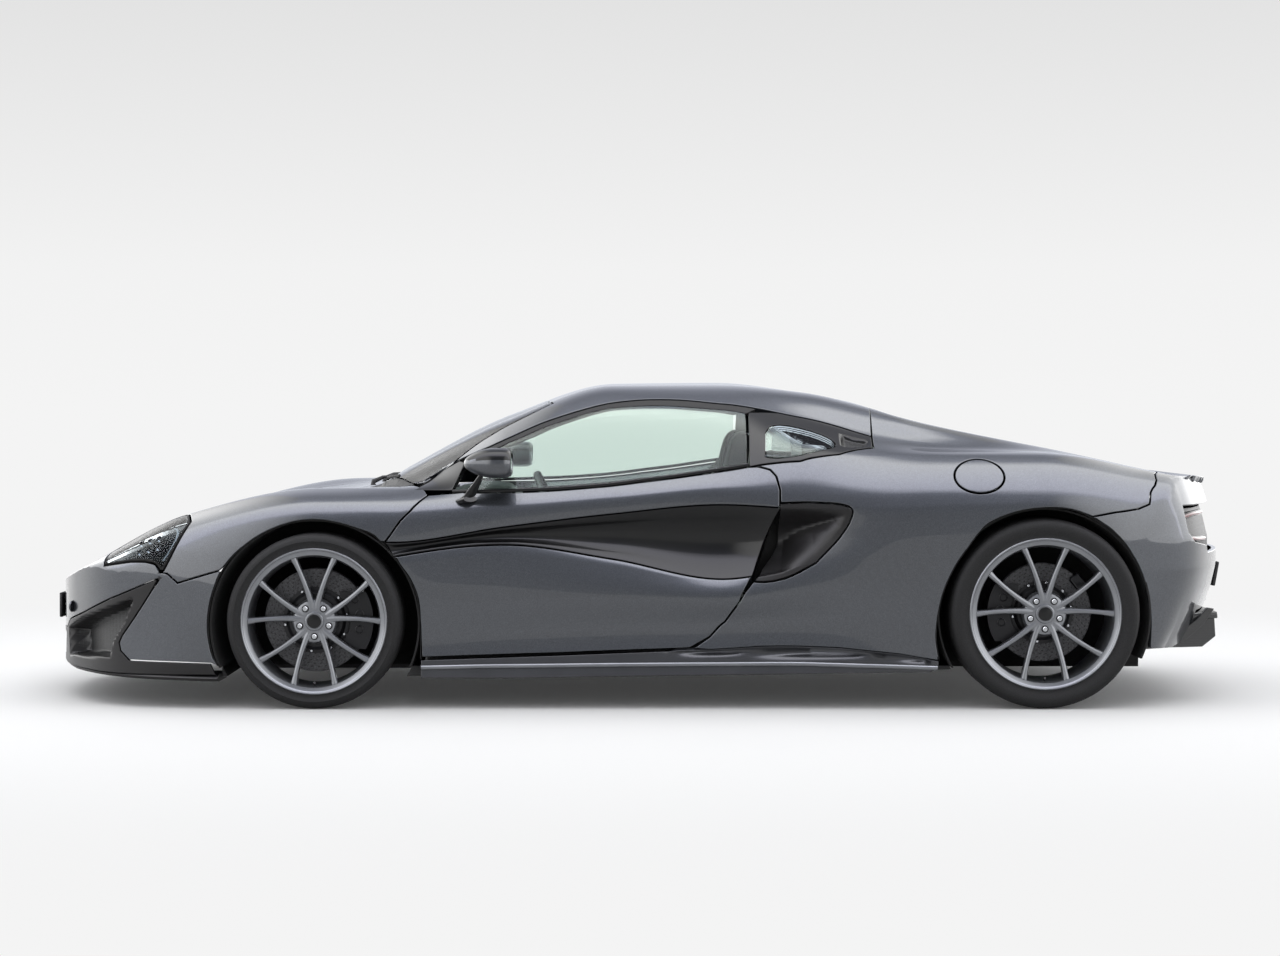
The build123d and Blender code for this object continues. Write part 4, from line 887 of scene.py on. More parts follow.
cowl_outline = ([(S_BONNET, TOP)] + plans((300, -1061), (592, -1061), (640, -1008), (700, -870), (692, -842))
    + SCREEN_FOOT[::-1][1:])
cowl_well = cowl_outline + [(s_at(-1012), TOP + 200), (S_BONNET, TOP + 200)]
cowl = panel("cowl_scuttle", cowl_outline, BLACK_PLASTIC, both=True, wall=12, dip=pocket((cowl_well, 16, 30)))

place(panel("windscreen_glass", SCREEN_FOOT + SCREEN_SIDE[1:] + SCREEN_HEAD[1:], SCREEN_GLASS, gap=2.5, both=True,
    wall=5, edge=1.5), "root", "glass", "windscreen")
place(panel("roof_skin", SCREEN_SIDE[::-1] + FRAME[1:] + plans((560, 871), (432, 871)) + [(s_at(871), TOP)]
    + SCREEN_HEAD[::-1], PAINT, both=True, wall=18, gap=SHUT, edge_mat=FELT), "root", "body_paint", "roof")
place(panel("rear_window_glass", [(s_at(880), TOP)] + REAR_GLASS_SIDE + [(s_at(1068), TOP)], SIDE_GLASS, both=True,
    wall=5, edge=1.5), "root", "glass", "rear_window")


def deck_well(y0, x1):
    """Outline of one louvre of the deck, which widens to the back."""
    y1 = y0 + 74
    return plans((60, y0), (x1, y0), (x1 + 0.05 * (y1 - y0), y1), (60, y1))


deck_wells = [(deck_well(1120 + 118 * i, 380 + 8 * i), 24, 16) for i in range(6)]
place(panel("rear_deck_louvred", [(s_at(1072), TOP)] + DECK_SIDE + [(s_at(1958), TOP)], PAINT, both=True, wall=14,
    grid=12, dip=pocket(*deck_wells), deep=(GRILLE, 18)), "root", "body_paint", "rear_deck")
place(panel("rear_wing_skin", [(s_at(1976), TOP)] + WING_EDGE[:-1] + [(WING_EDGE[-1][0], TOP)], PAINT, gap=5,
    both=True, wall=24), "rear_wing", "body_paint", "rear_wing")

fender_edge = (sides((-1775, 493), (-1732, 493), (-1692, 459), (-1532, 507)) + arch_part(ARCH_FRONT, 4, 10)[1:]
    + DOOR_FRONT[::-1] + plans((715, -862), (700, -872), (640, -1008)) + BONNET_EDGE[::-1][:22])
LAMP_INNER = plans((664, -1700), (622, -1790), (606, -1850), (606, -1930), (640, -1985))
place_pair(panel("front_fender_skin", fender_edge + plans((566, -1680), (575, -1750)) + LAMP_INNER[:2][::-1]
                 + sides((-1656, 680), (-1745, 504)), PAINT, gap=SHUT, wall=16, edge_mat=FELT),
           "root", "body_paint", "front_fender_{}")

# nose: painted skin down to the intakes, with the side fin that runs back to the wheel arch
FIN = sides((-1756, 490), (-1794, 426), (-1833, 367), (-1872, 311), (-1908, 262), (-1921, 235), (-1915, 205),
    (-1880, 172), (-1571, 165))
DIAG = sides((-1756, 478), (-1860, 436), (-1960, 395), (-2030, 362), (-2078, 338))
NOSE_FOOT = fronts((520, 300), (430, 262), (250, 258)) + [(0.0, front(0, 258)[1])]
nose_outline = ([(0, 1100), (0, TOP), (S_NOSE, TOP)] + BONNET_EDGE[1:16]
                + plans((575, -1750), (606, -1850), (606, -1930), (640, -1985))
                + sides((-1985, 516), (-1874, 534), (-1814, 535), (-1777, 526), (-1760, 500), (-1732, 493),
                        (-1692, 459), (-1532, 507)) + arch_part(ARCH_FRONT, 0, 5)[::-1] + FIN[::-1][:-1]
                + DIAG + NOSE_FOOT)
low_corner = (NOSE_FOOT[::-1] + DIAG[::-1] + FIN + sides((-1552, 122), (-1880, 121), (-2000, 122))
    + fronts((700, 124), (500, 124), (250, 126)) + [(0.0, front(0, 127)[1])])
corner_well = fronts((505, 160), (480, 265)) + sides((-2085, 322), (-1965, 366), (-1860, 405), (-1900, 310),
    (-1945, 240), (-1960, 176))
centre_well = [(-200.0, front(0, 150)[1]), (-200.0, front(0, 240)[1])] + fronts((395, 240), (345, 152))
nose = panel("nose_skin", nose_outline, PAINT, both=True, wall=18, gap=SHUT)
corner = panel("nose_intakes", low_corner, SCOOP_DARK, both=True, wall=14, grid=11, step=11,
    dip=pocket((corner_well, 80, 26), (centre_well, 60, 22)), deep=(GRILLE, 45))
plate = block("nose_plate_blank", BLACK_PLASTIC, (0, -2266, 330), (420, 12, 96), bevel=4)
plate_face = block("nose_plate_face", CAST_METAL, (0, -2272, 330), (396, 3, 80), bevel=1)
tow = moved(turned("tow_cover", PAINT, [(0, 0), (0, 20), (3, 22), (5, 22)], n=24), off_skin(front(560, 350), 0),
            math.radians(-110))
place(joined("front_bumper_skin", nose, corner, plate, plate_face, *twins(tow)[0]), "root", "body_paint",
    "front_bumper")

# headlamps: a clear lens over a black bowl with a cluster of emitters and a C-shaped light strip
lamp_outline = (sides((-1985, 518), (-1874, 536), (-1814, 537), (-1777, 528), (-1758, 504), (-1747, 504),
    (-1658, 679)) + LAMP_INNER)
bowl = panel("headlamp_bowl", lamp_outline, FELT, gap=3, wall=30, grid=9, step=9,
             dip=pocket((grown(lamp_outline, -8), 34, 30)))
lens = panel("headlamp_lens", lamp_outline, LENS, gap=3.5, wall=3, edge=1.0, dip=lambda s, w: np.full(len(s), 1.0))
lamp_bits = []
for k in range(6):
    column, row = k % 3, k // 3
    spot = off_skin(side(-1842 + 36 * column, 574 + 9 * column + 34 * row), -22)
    lamp_bits.append(block(f"emitter_{k}", CALIPER_BLACK, spot, (30, 24, 16), turn=(0, 0, -30), bevel=3, taper=0.8))
    lamp_bits.append(moved(turned(f"emitter_eye_{k}", CHROME, [(0, 0), (4, 6), (8, 10), (0, 12)], n=16),
                           spot + np.array([6, -10, 6])))
guide = [off_skin(place, -12) for place in sides((-1822, 634), (-1780, 655), (-1738, 666), (-1708, 656),
    (-1706, 632), (-1718, 600), (-1736, 566), (-1752, 540))]
lamp_bits.append(tube("light_strip", LIGHT_GUIDE, through(guide, 5), 5, squash=(1.0, 0.7)))
units = joined_pair("headlamp_unit_{}", bowl, *twins(*lamp_bits))
for i in (0, 1):
    place(units[i], "root", "lamp", f"headlamp_{SIDES[i]}")
    place(lens[i], "root", "lamp")

# splitter: a thin blade that follows the nose's outline and rises to the front
path = rounded(np.array([(-200, -2240), (0, -2250), (200, -2240), (330, -2214), (470, -2170), (600, -2118),
    (720, -2040), (820, -1938), (880, -1820), (905, -1700), (920, -1545), (921, -1400)], float), 5)
BLADE_SECTION = ((0, 6), (-5, 13), (-30, 20), (-150, 22), (-150, -4), (-20, -6), (-4, -2))  # (outwards, up)
verts = []
for i, (x, y) in enumerate(path):
    z = 104 + 12 * max(0.0, min(1.0, (-y - 1600) / 500))
    k = min(max(i, 1), len(path) - 2)
    d = path[k + 1] - path[k - 1]
    d /= np.linalg.norm(d)
    for a, b in BLADE_SECTION:
        verts.append((max(0, x + d[1] * a) if x > 1 else 0, y - d[0] * a, z + b))
m = len(BLADE_SECTION)
faces = grid_faces(len(path), m)[:-2] + [tuple((len(path) - 1) * m + k for k in range(m))]
left_half = cleaned(lofted("splitter_blade", verts, faces, [SCOOP_DARK], sharp=40))
place(joined("splitter_blade", *twins(left_half)[0]), "root", "dark_trim", "front_splitter")

# --- doors ----------------------------------------------------------------------------------------
blade_line = [(s_at(y), 520.0) for y in np.linspace(-929, 512, 30)]
blade_foot = [(s_at(y), 390.0) for y in np.linspace(-900, 410, 28)]
door_upper = panel("door_upper_skin", DOOR_FRONT + blade_line + sides((513, 800), (500, 850), (478, 874),
    (430, 886), (396, 884)) + DOOR_BELT[:-1] + sides((-642, 792)), PAINT, gap=OPEN, wall=40, edge_mat=FELT)
door_lower = panel("door_lower_skin",
    blade_foot + DOOR_REAR_LOW[1:] + DOOR_FOOT + arch_part(ARCH_FRONT, 10, 15)[::-1],
    PAINT, gap=OPEN, wall=40, edge_mat=FELT)
blade = panel("door_blade", blade_line[::-1] + blade_foot, GLOSS_BLACK, gap=1.0, wall=30, edge=2.0)
SAIL = sides((-835, 797), (-748, 862), (-672, 904), (-650, 898), (-690, 796))
sail = panel("door_sail", SAIL, GLOSS_BLACK, gap=3, wall=20)
GLASS_TOP = smooth_line(sides((-642, 796), (-596, 856), (-520, 957), (-446, 990), (-373, 1023), (-299, 1049),
    (-224, 1074), (-150, 1094), (-75, 1105), (0, 1110), (75, 1111), (150, 1108), (225, 1102), (300, 1096),
    (396, 1082)), 2)
GLASS_REAR = smooth_line(sides((396, 1082), (398, 980), (396, 888)), 2)
GLASS_FOOT = sides((396, 888), (294, 871), (147, 849), (0, 831), (-147, 813), (-293, 802), (-440, 796), (-642, 796))
window = panel("door_window_glass", GLASS_TOP + GLASS_REAR[1:] + GLASS_FOOT[1:-1],
    SIDE_GLASS, gap=3, wall=4, edge=1.2)
belt = [off_skin(p, 1.5) for p in smooth_line(sides((-690, 792), (-560, 794), (-440, 798), (-293, 804), (-147, 815),
    (0, 833), (147, 851), (294, 873), (400, 890)), 3)]
# trimmed inside: a shaped card with an armrest, a pull and a speaker, and the trim of the belt line
DOOR_TRIM = [
    slab("door_card", LEATHER, [(-680, 760), (-560, 300), (-280, 260), (90, 280), (300, 420), (420, 640),
                                (400, 820), (200, 800), (-200, 770), (-500, 755)], 792, 812, bevel=8),
    block("armrest", LEATHER, (795, -40, 560), (60, 420, 60), turn=(6, 0, 0), bevel=14),
    tube("door_pull", SATIN_DARK, [(800, -220, 600), (775, -200, 650), (772, -120, 680), (775, -40, 700),
                                   (800, -20, 690)], 9),
    turned("speaker", CAST_METAL, [(0, 0), (-2, 40), (-4, 62), (0, 70), (6, 70)], (794, -430, 420), n=32),
    tube("belt_trim", GLOSS_BLACK, belt, 5, squash=(0.6, 1.3)),
    tube("belt_seal", SEAL, [p + (1, 0, -14) for p in belt], 4, n=8, squash=(0.6, 0.8))]
doors = joined_pair("door_skin_{}", door_upper, door_lower, blade, sail, *twins(*DOOR_TRIM))
place_pair(doors, "door_{}", "body_paint", "door_{}")
place_pair(window, "door_{}", "glass", "door_window_{}")

# black frame between the door glass and the roof, fixed to the roof
ring = (FRAME[: FRAME.index(min(FRAME, key=lambda p: abs(p[0] - s_at(405)))) + 1] + sides((404, 1084))
    + GLASS_TOP[::-1][:-4] + sides((-640, 915), (-690, 905), (-790, 836), (-845, 797)))
place_pair(panel("window_frame_seal", ring, SEAL, gap=1.0, wall=14, step=12, grid=20,
                 dip=lambda s, w: np.full(len(s), 3.0)), "root", "black_trim")


def mirror_piece():
    """Door mirror: a rounded painted head with a black upper shell, on a swept black stalk."""
    select_only()
    bpy.ops.mesh.primitive_uv_sphere_add(segments=40, ring_count=24, radius=1, location=(0, 0, 0),
        rotation=(math.pi / 2, 0, 0))
    head = worked("mirror_head", PAINT)
    bpy.ops.object.transform_apply(location=False, rotation=True, scale=False)
    cx, cy, cz = 0.948, -0.530, 0.897  # middle of the head, in metres
    glass_y, shell_z = -0.4665, 0.912  # where its glass face is, and where the black shell starts
    # squared-off egg: blunt at the glass, drawn out to the front and outer side
    for v in head.data.vertices:
        x, y, z = v.co
        x, z = math.copysign(abs(x) ** 0.62, x), math.copysign(abs(z) ** 0.72, z)
        y = math.copysign(abs(y) ** (0.35 if y > 0 else 1.1), y)
        slim = 1 - 0.28 * max(0.0, -y) ** 2
        v.co = (cx + x * 0.092 * slim, cy + (y * 0.072 if y > 0 else y * 0.110),
                cz + z * (0.058 if z > 0 else 0.052) * slim)
    head.data.materials.append(GLOSS_BLACK)
    head.data.materials.append(MIRROR_GLASS)
    bpy.ops.object.mode_set(mode="EDIT")
    mesh = bmesh.from_edit_mesh(head.data)
    for face in mesh.faces:
        face.select = face.calc_center_median().y > glass_y
        face.material_index = 1 if face.calc_center_median().z > shell_z else 0
    bmesh.update_edit_mesh(head.data)
    bpy.ops.mesh.inset(thickness=0.008)
    bpy.ops.transform.translate(value=(0, -0.010, 0))
    mesh = bmesh.from_edit_mesh(head.data)
    for face in mesh.faces:
        if face.select:
            face.material_index = 2
    bmesh.update_edit_mesh(head.data)
    bpy.ops.object.mode_set(mode="OBJECT")
    bpy.ops.object.shade_smooth_by_angle(angle=math.radians(40))
    arm = [(880, -655, 750), (893, -640, 764), (906, -622, 782), (922, -606, 806), (936, -590, 832),
        (944, -576, 860), (946, -560, 890)]
    stalk = tube("mirror_stalk", GLOSS_BLACK, rounded(np.array(arm, float), 6),
                 [30 - 16 * i / 24 for i in range(25)], n=16, squash=(1.0, 0.45))
    foot = tube("mirror_foot", GLOSS_BLACK, [(870, -650, 757), (893, -640, 760), (915, -620, 768)], 16, n=16,
        squash=(2.0, 0.7))
    return joined("mirror_left", head, stalk, foot)


mirror = mirror_piece()
place(mirrored(mirror, "mirror_shell_right"), "door_right", "body_paint", "mirror_right")
mirror.name = "mirror_shell_left"
place(mirror, "door_left", "body_paint", "mirror_left")

# --- rear sides -----------------------------------------------------------------------------------
flap_ring = [side(1243 + 92 * math.cos(a), 850 + 62 * math.sin(a)) for a in np.linspace(0, 2 * math.pi, 40)[:-1]]
quarter_outline = (sides((866, 993)) + plans((560, 866), (432, 866)) + REAR_GLASS_SIDE + DECK_SIDE
    + plans((692, 1962)) + TAIL_SEAM[1:] + arch_part(ARCH_REAR, 0, 9)[::-1] + SKIRT_TOP[4:][::-1]
    + sides((196, 221), (256, 262), (311, 316), (365, 391)) + INTAKE_BACK[::-1] + sides((513, 800), (500, 850),
    (478, 874), (430, 886)) + QUARTER_SILL[::-1][1:])
# the fuel flap is on the left only
holed, spare = panel("rear_quarter_skin", quarter_outline, PAINT, gap=SHUT, wall=16, edge_mat=FELT,
    holes=[flap_ring])
bpy.data.objects.remove(spare)
spare, whole = panel("rear_quarter_skin", quarter_outline, PAINT, gap=SHUT, wall=16, edge_mat=FELT)
bpy.data.objects.remove(spare)
place(holed, "root", "body_paint", "rear_quarter_left")
place(whole, "root", "body_paint", "rear_quarter_right")
flap, spare = panel("fuel_flap_skin", flap_ring, PAINT, gap=4.5, wall=5, step=8, grid=14)
bpy.data.objects.remove(spare)
place(flap, "fuel_flap", "body_paint", "fuel_flap")

scoop_outline = sides((513, 753)) + INTAKE_BACK[1:] + sides((440, 520), (480, 600), (505, 690))
scoop_well = sides((-100, 400), (200, 700), (513, 738), (586, 738), (657, 737), (722, 733), (750, 722), (755, 703),
    (734, 660), (694, 612), (642, 560), (571, 516), (518, 494), (455, 482), (300, 470))
scoop = panel("side_intake_scoop", scoop_outline, SCOOP_DARK, gap=SHUT, wall=12, grid=6, step=8,
    dip=pocket((scoop_well, 92, 110)))
# a black felt plate behind the door's rear shut line: it stands for the body's jamb and closes the gap, and its
# black is painted shade in the gap
gap_shade_plate = block("door_jamb", FELT, (776, 430, 610), (10, 250, 400), bevel=2)
place_pair(joined_pair("side_intake_{}_shell", scoop, *twins(gap_shade_plate)), "root", "dark_trim", "side_intake_{}")

# panel behind the door window: dark, with a small fixed glass and a black louvre behind it
q_outline = (sides((404, 1084)) + [p for p in FRAME if s_at(436) < p[0] < s_at(866)] + sides((866, 992), (866, 953))
    + QUARTER_SILL[1:])
q_glass = smooth_line(sides((468, 1007), (484, 1029), (522, 1037), (597, 1025), (670, 1003), (713, 981), (722, 959),
    (683, 949), (589, 927), (497, 916), (464, 922)), 2)
q_louvre = sides((742, 958), (752, 1000), (800, 990), (850, 978), (850, 962), (800, 955))
q_panel = panel("quarter_panel", q_outline, GLOSS_BLACK, gap=SHUT, wall=10, step=12, grid=14,
    dip=pocket((q_louvre, 16, 10)), deep=(GRILLE, 9), holes=[q_glass])
q_pane = panel("quarter_glass", q_glass, SIDE_GLASS, gap=1.0, wall=4, edge=1.0)
for i in (0, 1):
    place(q_panel[i], "root", "glass", f"quarter_window_{SIDES[i]}")
    place(q_pane[i], "root", "glass")

# sills: a dark blade with a lip along its foot and a black wedge ahead of the rear wheel
skirt_outline = SKIRT_TOP + sides((1091, 150)) + [(s_at(1060), 0.0), (s_at(-803), 0.0)]
wedge_well = sides((60, 214), (146, 217), (438, 231), (729, 226), (947, 206), (1085, 182), (1060, 168), (940, 176),
    (700, 184), (400, 190), (140, 200))
skirt = panel("sill_blade", skirt_outline, SATIN_DARK, gap=2, wall=14, step=12, grid=16,
    dip=pocket((wedge_well, 26, 14)))
lip_y = np.linspace(-800, 1085, 40)
lip_w = np.interp(lip_y, [-800, 200, 600, 1085], [42, 30, 24, 12])
lip = tube("sill_lip", WHEEL_METAL, [surf([s_at(y)], [w])[0] + (4, 0, 0) for y, w in zip(lip_y, lip_w)], 9,
    squash=(0.7, 0.9))
place_pair(joined_pair("sill_{}", skirt, *twins(lip)), "root", "dark_trim", "side_skirt_{}")

# --- tail -----------------------------------------------------------------------------------------
def tail_centre(z):
    """Chart place at a height on the centre line of the tail."""
    return LENGTH, front(1, z, True)[1]


g_low = fronts((640, 562), (560, 562), (400, 562), (200, 562), tail=True) + [tail_centre(562)]
g_high = [tail_centre(738)] + fronts((200, 738), (400, 738), (560, 738), (700, 738), (800, 738), tail=True)
lamp_out = fronts((806, 700), (806, 640), (780, 606), (660, 590), tail=True)
bumper_outline = (arch_part(ARCH_REAR, 9, 15) + sides((1874, 215), (1985, 205))
                  + fronts((700, 210), (640, 215), (620, 335), tail=True) + [tail_centre(335)] + g_low[::-1]
                  + lamp_out[::-1] + g_high[::-1] + [(LENGTH, TOP), (WING_EDGE[-1][0], TOP)] + WING_EDGE[::-1][1:]
                  + TAIL_SEAM[1:])
rear = panel("rear_bumper_skin", bumper_outline, PAINT, gap=SHUT, both=True, wall=18)
net = panel("tail_mesh", g_low[::-1] + lamp_out[::-1] + g_high[::-1], GRILLE, gap=1, wall=6, both=True, step=20,
    grid=22, dip=lambda s, w: np.full(len(s), 34.0))
pipes = []
for x in (-60, 60):
    pipe = turned("tail_pipe", BRIGHT_METAL, [(-60, 30), (0, 33), (4, 37), (0, 41), (-70, 41)], n=40)
    # each pipe is closed a little way in by a black felt disc: painted shade for the dark inside of the bore
    bore_shade_disc = turned("pipe_bore_painted_shade", FELT, [(0, 0), (0, 32)], n=40)
    pipes += [moved(pipe, (x, 2236, 372), math.pi / 2), moved(bore_shade_disc, (x, 2214, 372), math.pi / 2)]
rear_plate = block("tail_plate_blank", BLACK_PLASTIC, (0, 2252, 452), (420, 14, 96), turn=(-10, 0, 0), bevel=4)
place(joined("rear_bumper_body", rear, net, rear_plate, *pipes), "root", "body_paint", "rear_bumper")

# tail lamps: a thin red guide bent round a black housing
lamp_parts = []
for sign in (1, -1):
    guide = through([(sign * x, y, z) for x, y, z in (
        (640, 2118, 612), (690, 2094, 612), (745, 2060, 614), (785, 2020, 622), (792, 2008, 650), (785, 2006, 690),
        (745, 2044, 704), (690, 2080, 708), (640, 2104, 710))], 5)
    lamp_parts += [tube("tail_guide", RED_LENS, guide, 7),
                   tube("tail_guide_rim", GLOSS_BLACK, guide - (0, 10, 0), 11)]
place(joined("tail_lamp_guides", *lamp_parts), "root", "lamp", "tail_lamps")

# diffuser: a carbon plate with upright fins and turned-up ends
fins = [block("diffuser_plate", CARBON, (0, 2040, 312), (1236, 270, 26), turn=(4, 0, 0), bevel=4)]
for x in (-600, -300, 0, 300, 600):
    fins.append(slab("fin", CARBON, [(1890, 205), (1960, 196), (2120, 200), (2170, 240), (2165, 318), (1890, 318)],
        x - 7, x + 7, bevel=3))
for sign in (1, -1):
    fins.append(slab("winglet", CARBON, [(1890, 192), (1985, 198), (2060, 232), (2120, 286), (2160, 346),
        (2134, 350), (2092, 304), (2036, 262), (1965, 228), (1890, 214)],
        sign * 618 - 14, sign * 618 + 14, bevel=3))
place(joined("diffuser_blades", *fins), "root", "dark_trim", "diffuser")
place(cowl, "root", "black_trim", "cowl")

# --- wheels ---------------------------------------------------------------------------------------
# axle's (y, z), rim's radius, disc's (x, radius), tyre's width, and where the wheel's face and spokes start
AXLE = {"front": (-1190, 321), "rear": (1480, 348)}
RIM_R = {"front": 267, "rear": 277}
DISC = {"front": (840, 190), "rear": (820, 182)}
WIDTH = {"front": 225, "rear": 285}
FACE_X, HUB_R = 950, 46


def spun(x, r, angle, centre):
    """A point at a radius and angle round a wheel's axle; angle 90 is straight up."""
    a = math.radians(angle)
    return np.array((x, centre[0] + r * math.cos(a), centre[1] + r * math.sin(a)))


def wrapped(obj, axle, turns, across):
    """UV round an axle: u counts parts of the turn, and v is given by the point and its distance."""
    layer = obj.data.uv_layers.new(name="round")
    for poly in obj.data.polygons:
        places = []
        for loop in poly.loop_indices:
            co = obj.data.vertices[obj.data.loops[loop].vertex_index].co / MM
            y, z = co.y - axle[0], co.z - axle[1]
            places.append((math.atan2(z, y) / (2 * math.pi) * turns, across(co, math.hypot(y, z))))
        if max(u for u, _ in places) - min(u for u, _ in places) > turns / 2:
            places = [(u + turns if u < 0 else u, v) for u, v in places]
        for loop, place in zip(poly.loop_indices, places):
            layer.data[loop].uv = place
    return obj


def tyre(axle, tag):
    """Moulded tyre with four grooves round its tread."""
    y, z = AXLE[axle]
    w, r, lip = WIDTH[axle], z, RIM_R[axle]
    inner = lip - 8
    half = [(0, inner), (-3, lip + 4), (-2, lip + 14), (3, lip + 26), (4, r - 28), (1, r - 16), (-6, r - 8),
        (-16, r - 3), (-28, r - 1)]
    tread = []
    for k in range(4):
        at = -w * (0.22 + 0.1867 * k)
        tread += [(at + 5, r), (at + 4, r - 7), (at - 4, r - 7), (at - 5, r)]
    other = [(-w - x, rr) for x, rr in reversed(half)]
    obj = turned(f"{axle}_tyre_{tag}_moulded", RUBBER, half + tread + other, (FACE_X - 4, y, z), n=96, sharp=40)

    def across(co, far):
        """Place across the tyre: a sidewall, the tread, and the other sidewall."""
        depth, wall = (FACE_X - 4 - co.x) / w, 0.24 * (far - inner) / (r - inner)
        return 1 - wall if depth > 0.94 else wall if depth < 0.06 else 0.24 + depth * 0.52
    return wrapped(obj, (y, z), 1, across)


def spoke(angle_hub, angle_rim, centre, rim_r):
    """One thin spoke with a ridge down its middle, widening into the rim and the hub."""
    rows = []
    for t in np.linspace(0, 1, 9):
        r = HUB_R + (rim_r - 22 - HUB_R) * t
        angle = angle_hub + (angle_rim - angle_hub) * (t ** 0.8)
        wide = 12 + 6 * (1 - t) ** 3 * 1.5 + 7 * max(0, t - 0.82) / 0.18
        crest = FACE_X - 16 - 10 * (1 - t) ** 2 + 4 * t ** 3
        rows.append((r, angle, wide / 2 + 3, crest))
    verts, faces = [], []
    for r, angle, half, crest in rows:
        mid = spun(0, r, angle, centre)
        a = math.radians(angle)
        across = np.array((0, -math.sin(a), math.cos(a)))
        for u, drop in ((-1.0, 34), (-1.0, 7), (-0.72, 2.5), (-0.12, 0), (0.12, 0),
                        (0.72, 2.5), (1.0, 7), (1.0, 34)):
            verts.append(mid + across * half * u + (crest - drop, 0, 0))
    return cleaned(lofted("spoke", verts, grid_faces(len(rows), 8), [WHEEL_METAL], sharp=28))


def rim(axle, tag):
    """Forged wheel: a dished barrel with rolled lips, ten thin spokes in five pairs, a capped hub."""
    y, z = AXLE[axle]
    w, lip = WIDTH[axle], RIM_R[axle]
    centre = (y, z)
    barrel = [(-6, lip - 9), (-3, lip - 6), (-2, lip - 2), (-5, lip + 1), (-10, lip - 1), (-14, lip - 8),
        (-30, lip - 14), (-60, lip - 28), (-w * 0.55, lip - 30), (-w + 40, lip - 16), (-w + 12, lip - 8),
        (-w + 8, lip), (-w + 4, lip - 4), (-w + 12, lip - 16), (-w * 0.6, lip - 36), (-60, lip - 34),
        (-34, lip - 30), (-16, lip - 27), (-10, lip - 24), (-8, lip - 12), (-6, lip - 9)]
    parts = [turned("barrel", WHEEL_METAL, barrel, (FACE_X, y, z), n=96, sharp=40)]
    for k in range(5):
        mid = 90 + 72 * k
        parts += [spoke(mid + sign * 9, mid + sign * 18, centre, lip - 4) for sign in (1, -1)]
    hub = [(-60, 84), (-40, 82), (-30, 76), (-27, 66), (-27, 36), (-24, 34), (-20, 33.5), (-19, 31), (-19, 27),
        (-21, 26), (-21, 0)]
    parts.append(turned("hub", WHEEL_METAL, hub, (FACE_X, y, z), n=64, sharp=32))
    cap = [(-18.5, 25), (-17.5, 24), (-16.5, 12), (-16, 0)]
    parts.append(turned("cap", GLOSS_BLACK, cap, (FACE_X, y, z), n=48, sharp=40))
    for k in range(5):
        at = spun(0, 56, 270 + 72 * k, centre)
        well = turned("bolt_well", BLACK_PLASTIC, [(-26.6, 0), (-26.6, 11), (-25.8, 12.5), (-26.6, 13.5)],
            (FACE_X, at[1], at[2]), n=24, sharp=30)
        bolt = turned("bolt", BRIGHT_METAL, [(-26, 9.5), (-19, 9), (-17.5, 7.5), (-17.5, 4.5), (-22, 4), (-22, 0)],
            (FACE_X, at[1], at[2]), n=12, sharp=25)
        parts += [well, bolt]
    stem = spun(0, lip - 30, 270, centre)
    parts.append(tube("valve", BLACK_PLASTIC, [(FACE_X - 60, stem[1], stem[2] - 6), (FACE_X - 34, stem[1], stem[2]
        + 8), (FACE_X - 24, stem[1], stem[2] + 12)], [5, 4.5, 4.5], n=12))
    return joined(f"{axle}_rim_{tag}_forged", *parts)


def brake(axle, tag):
    """Drilled disc on a bolted bell."""
    y, z = AXLE[axle]
    x, r = DISC[axle]
    inner = 118 if axle == "front" else 112
    bands = [(12, inner), (17, inner + 2), (17, r - 2), (15, r), (4, r), (4, r - 10), (-4, r - 10), (-4, r),
        (-15, r), (-17, r - 2), (-17, inner + 2), (-12, inner), (12, inner)]
    disc = turned("disc", DISC_FACE, bands, (x, y, z), n=96, sharp=35)
    wrapped(disc, (y, z), 42, lambda co, far: (far - inner) / 12)
    bell = turned("bell", CALIPER_BLACK, [(16, inner + 4), (19, inner + 4), (20, inner - 8), (30, inner - 20),
        (32, 60), (32, 30), (10, 30)], (x, y, z), n=64, sharp=30)
    parts = [disc, bell]
    for k in range(10):
        at = spun(0, inner - 3, 36 * k + 9, (y, z))
        parts.append(turned("pin", BRIGHT_METAL, [(18, 5.5), (23, 5), (24, 3.5), (24, 0)],
            (x, at[1], at[2]), n=10, sharp=30))
    return joined(f"{axle}_disc_{tag}_drilled", *parts)


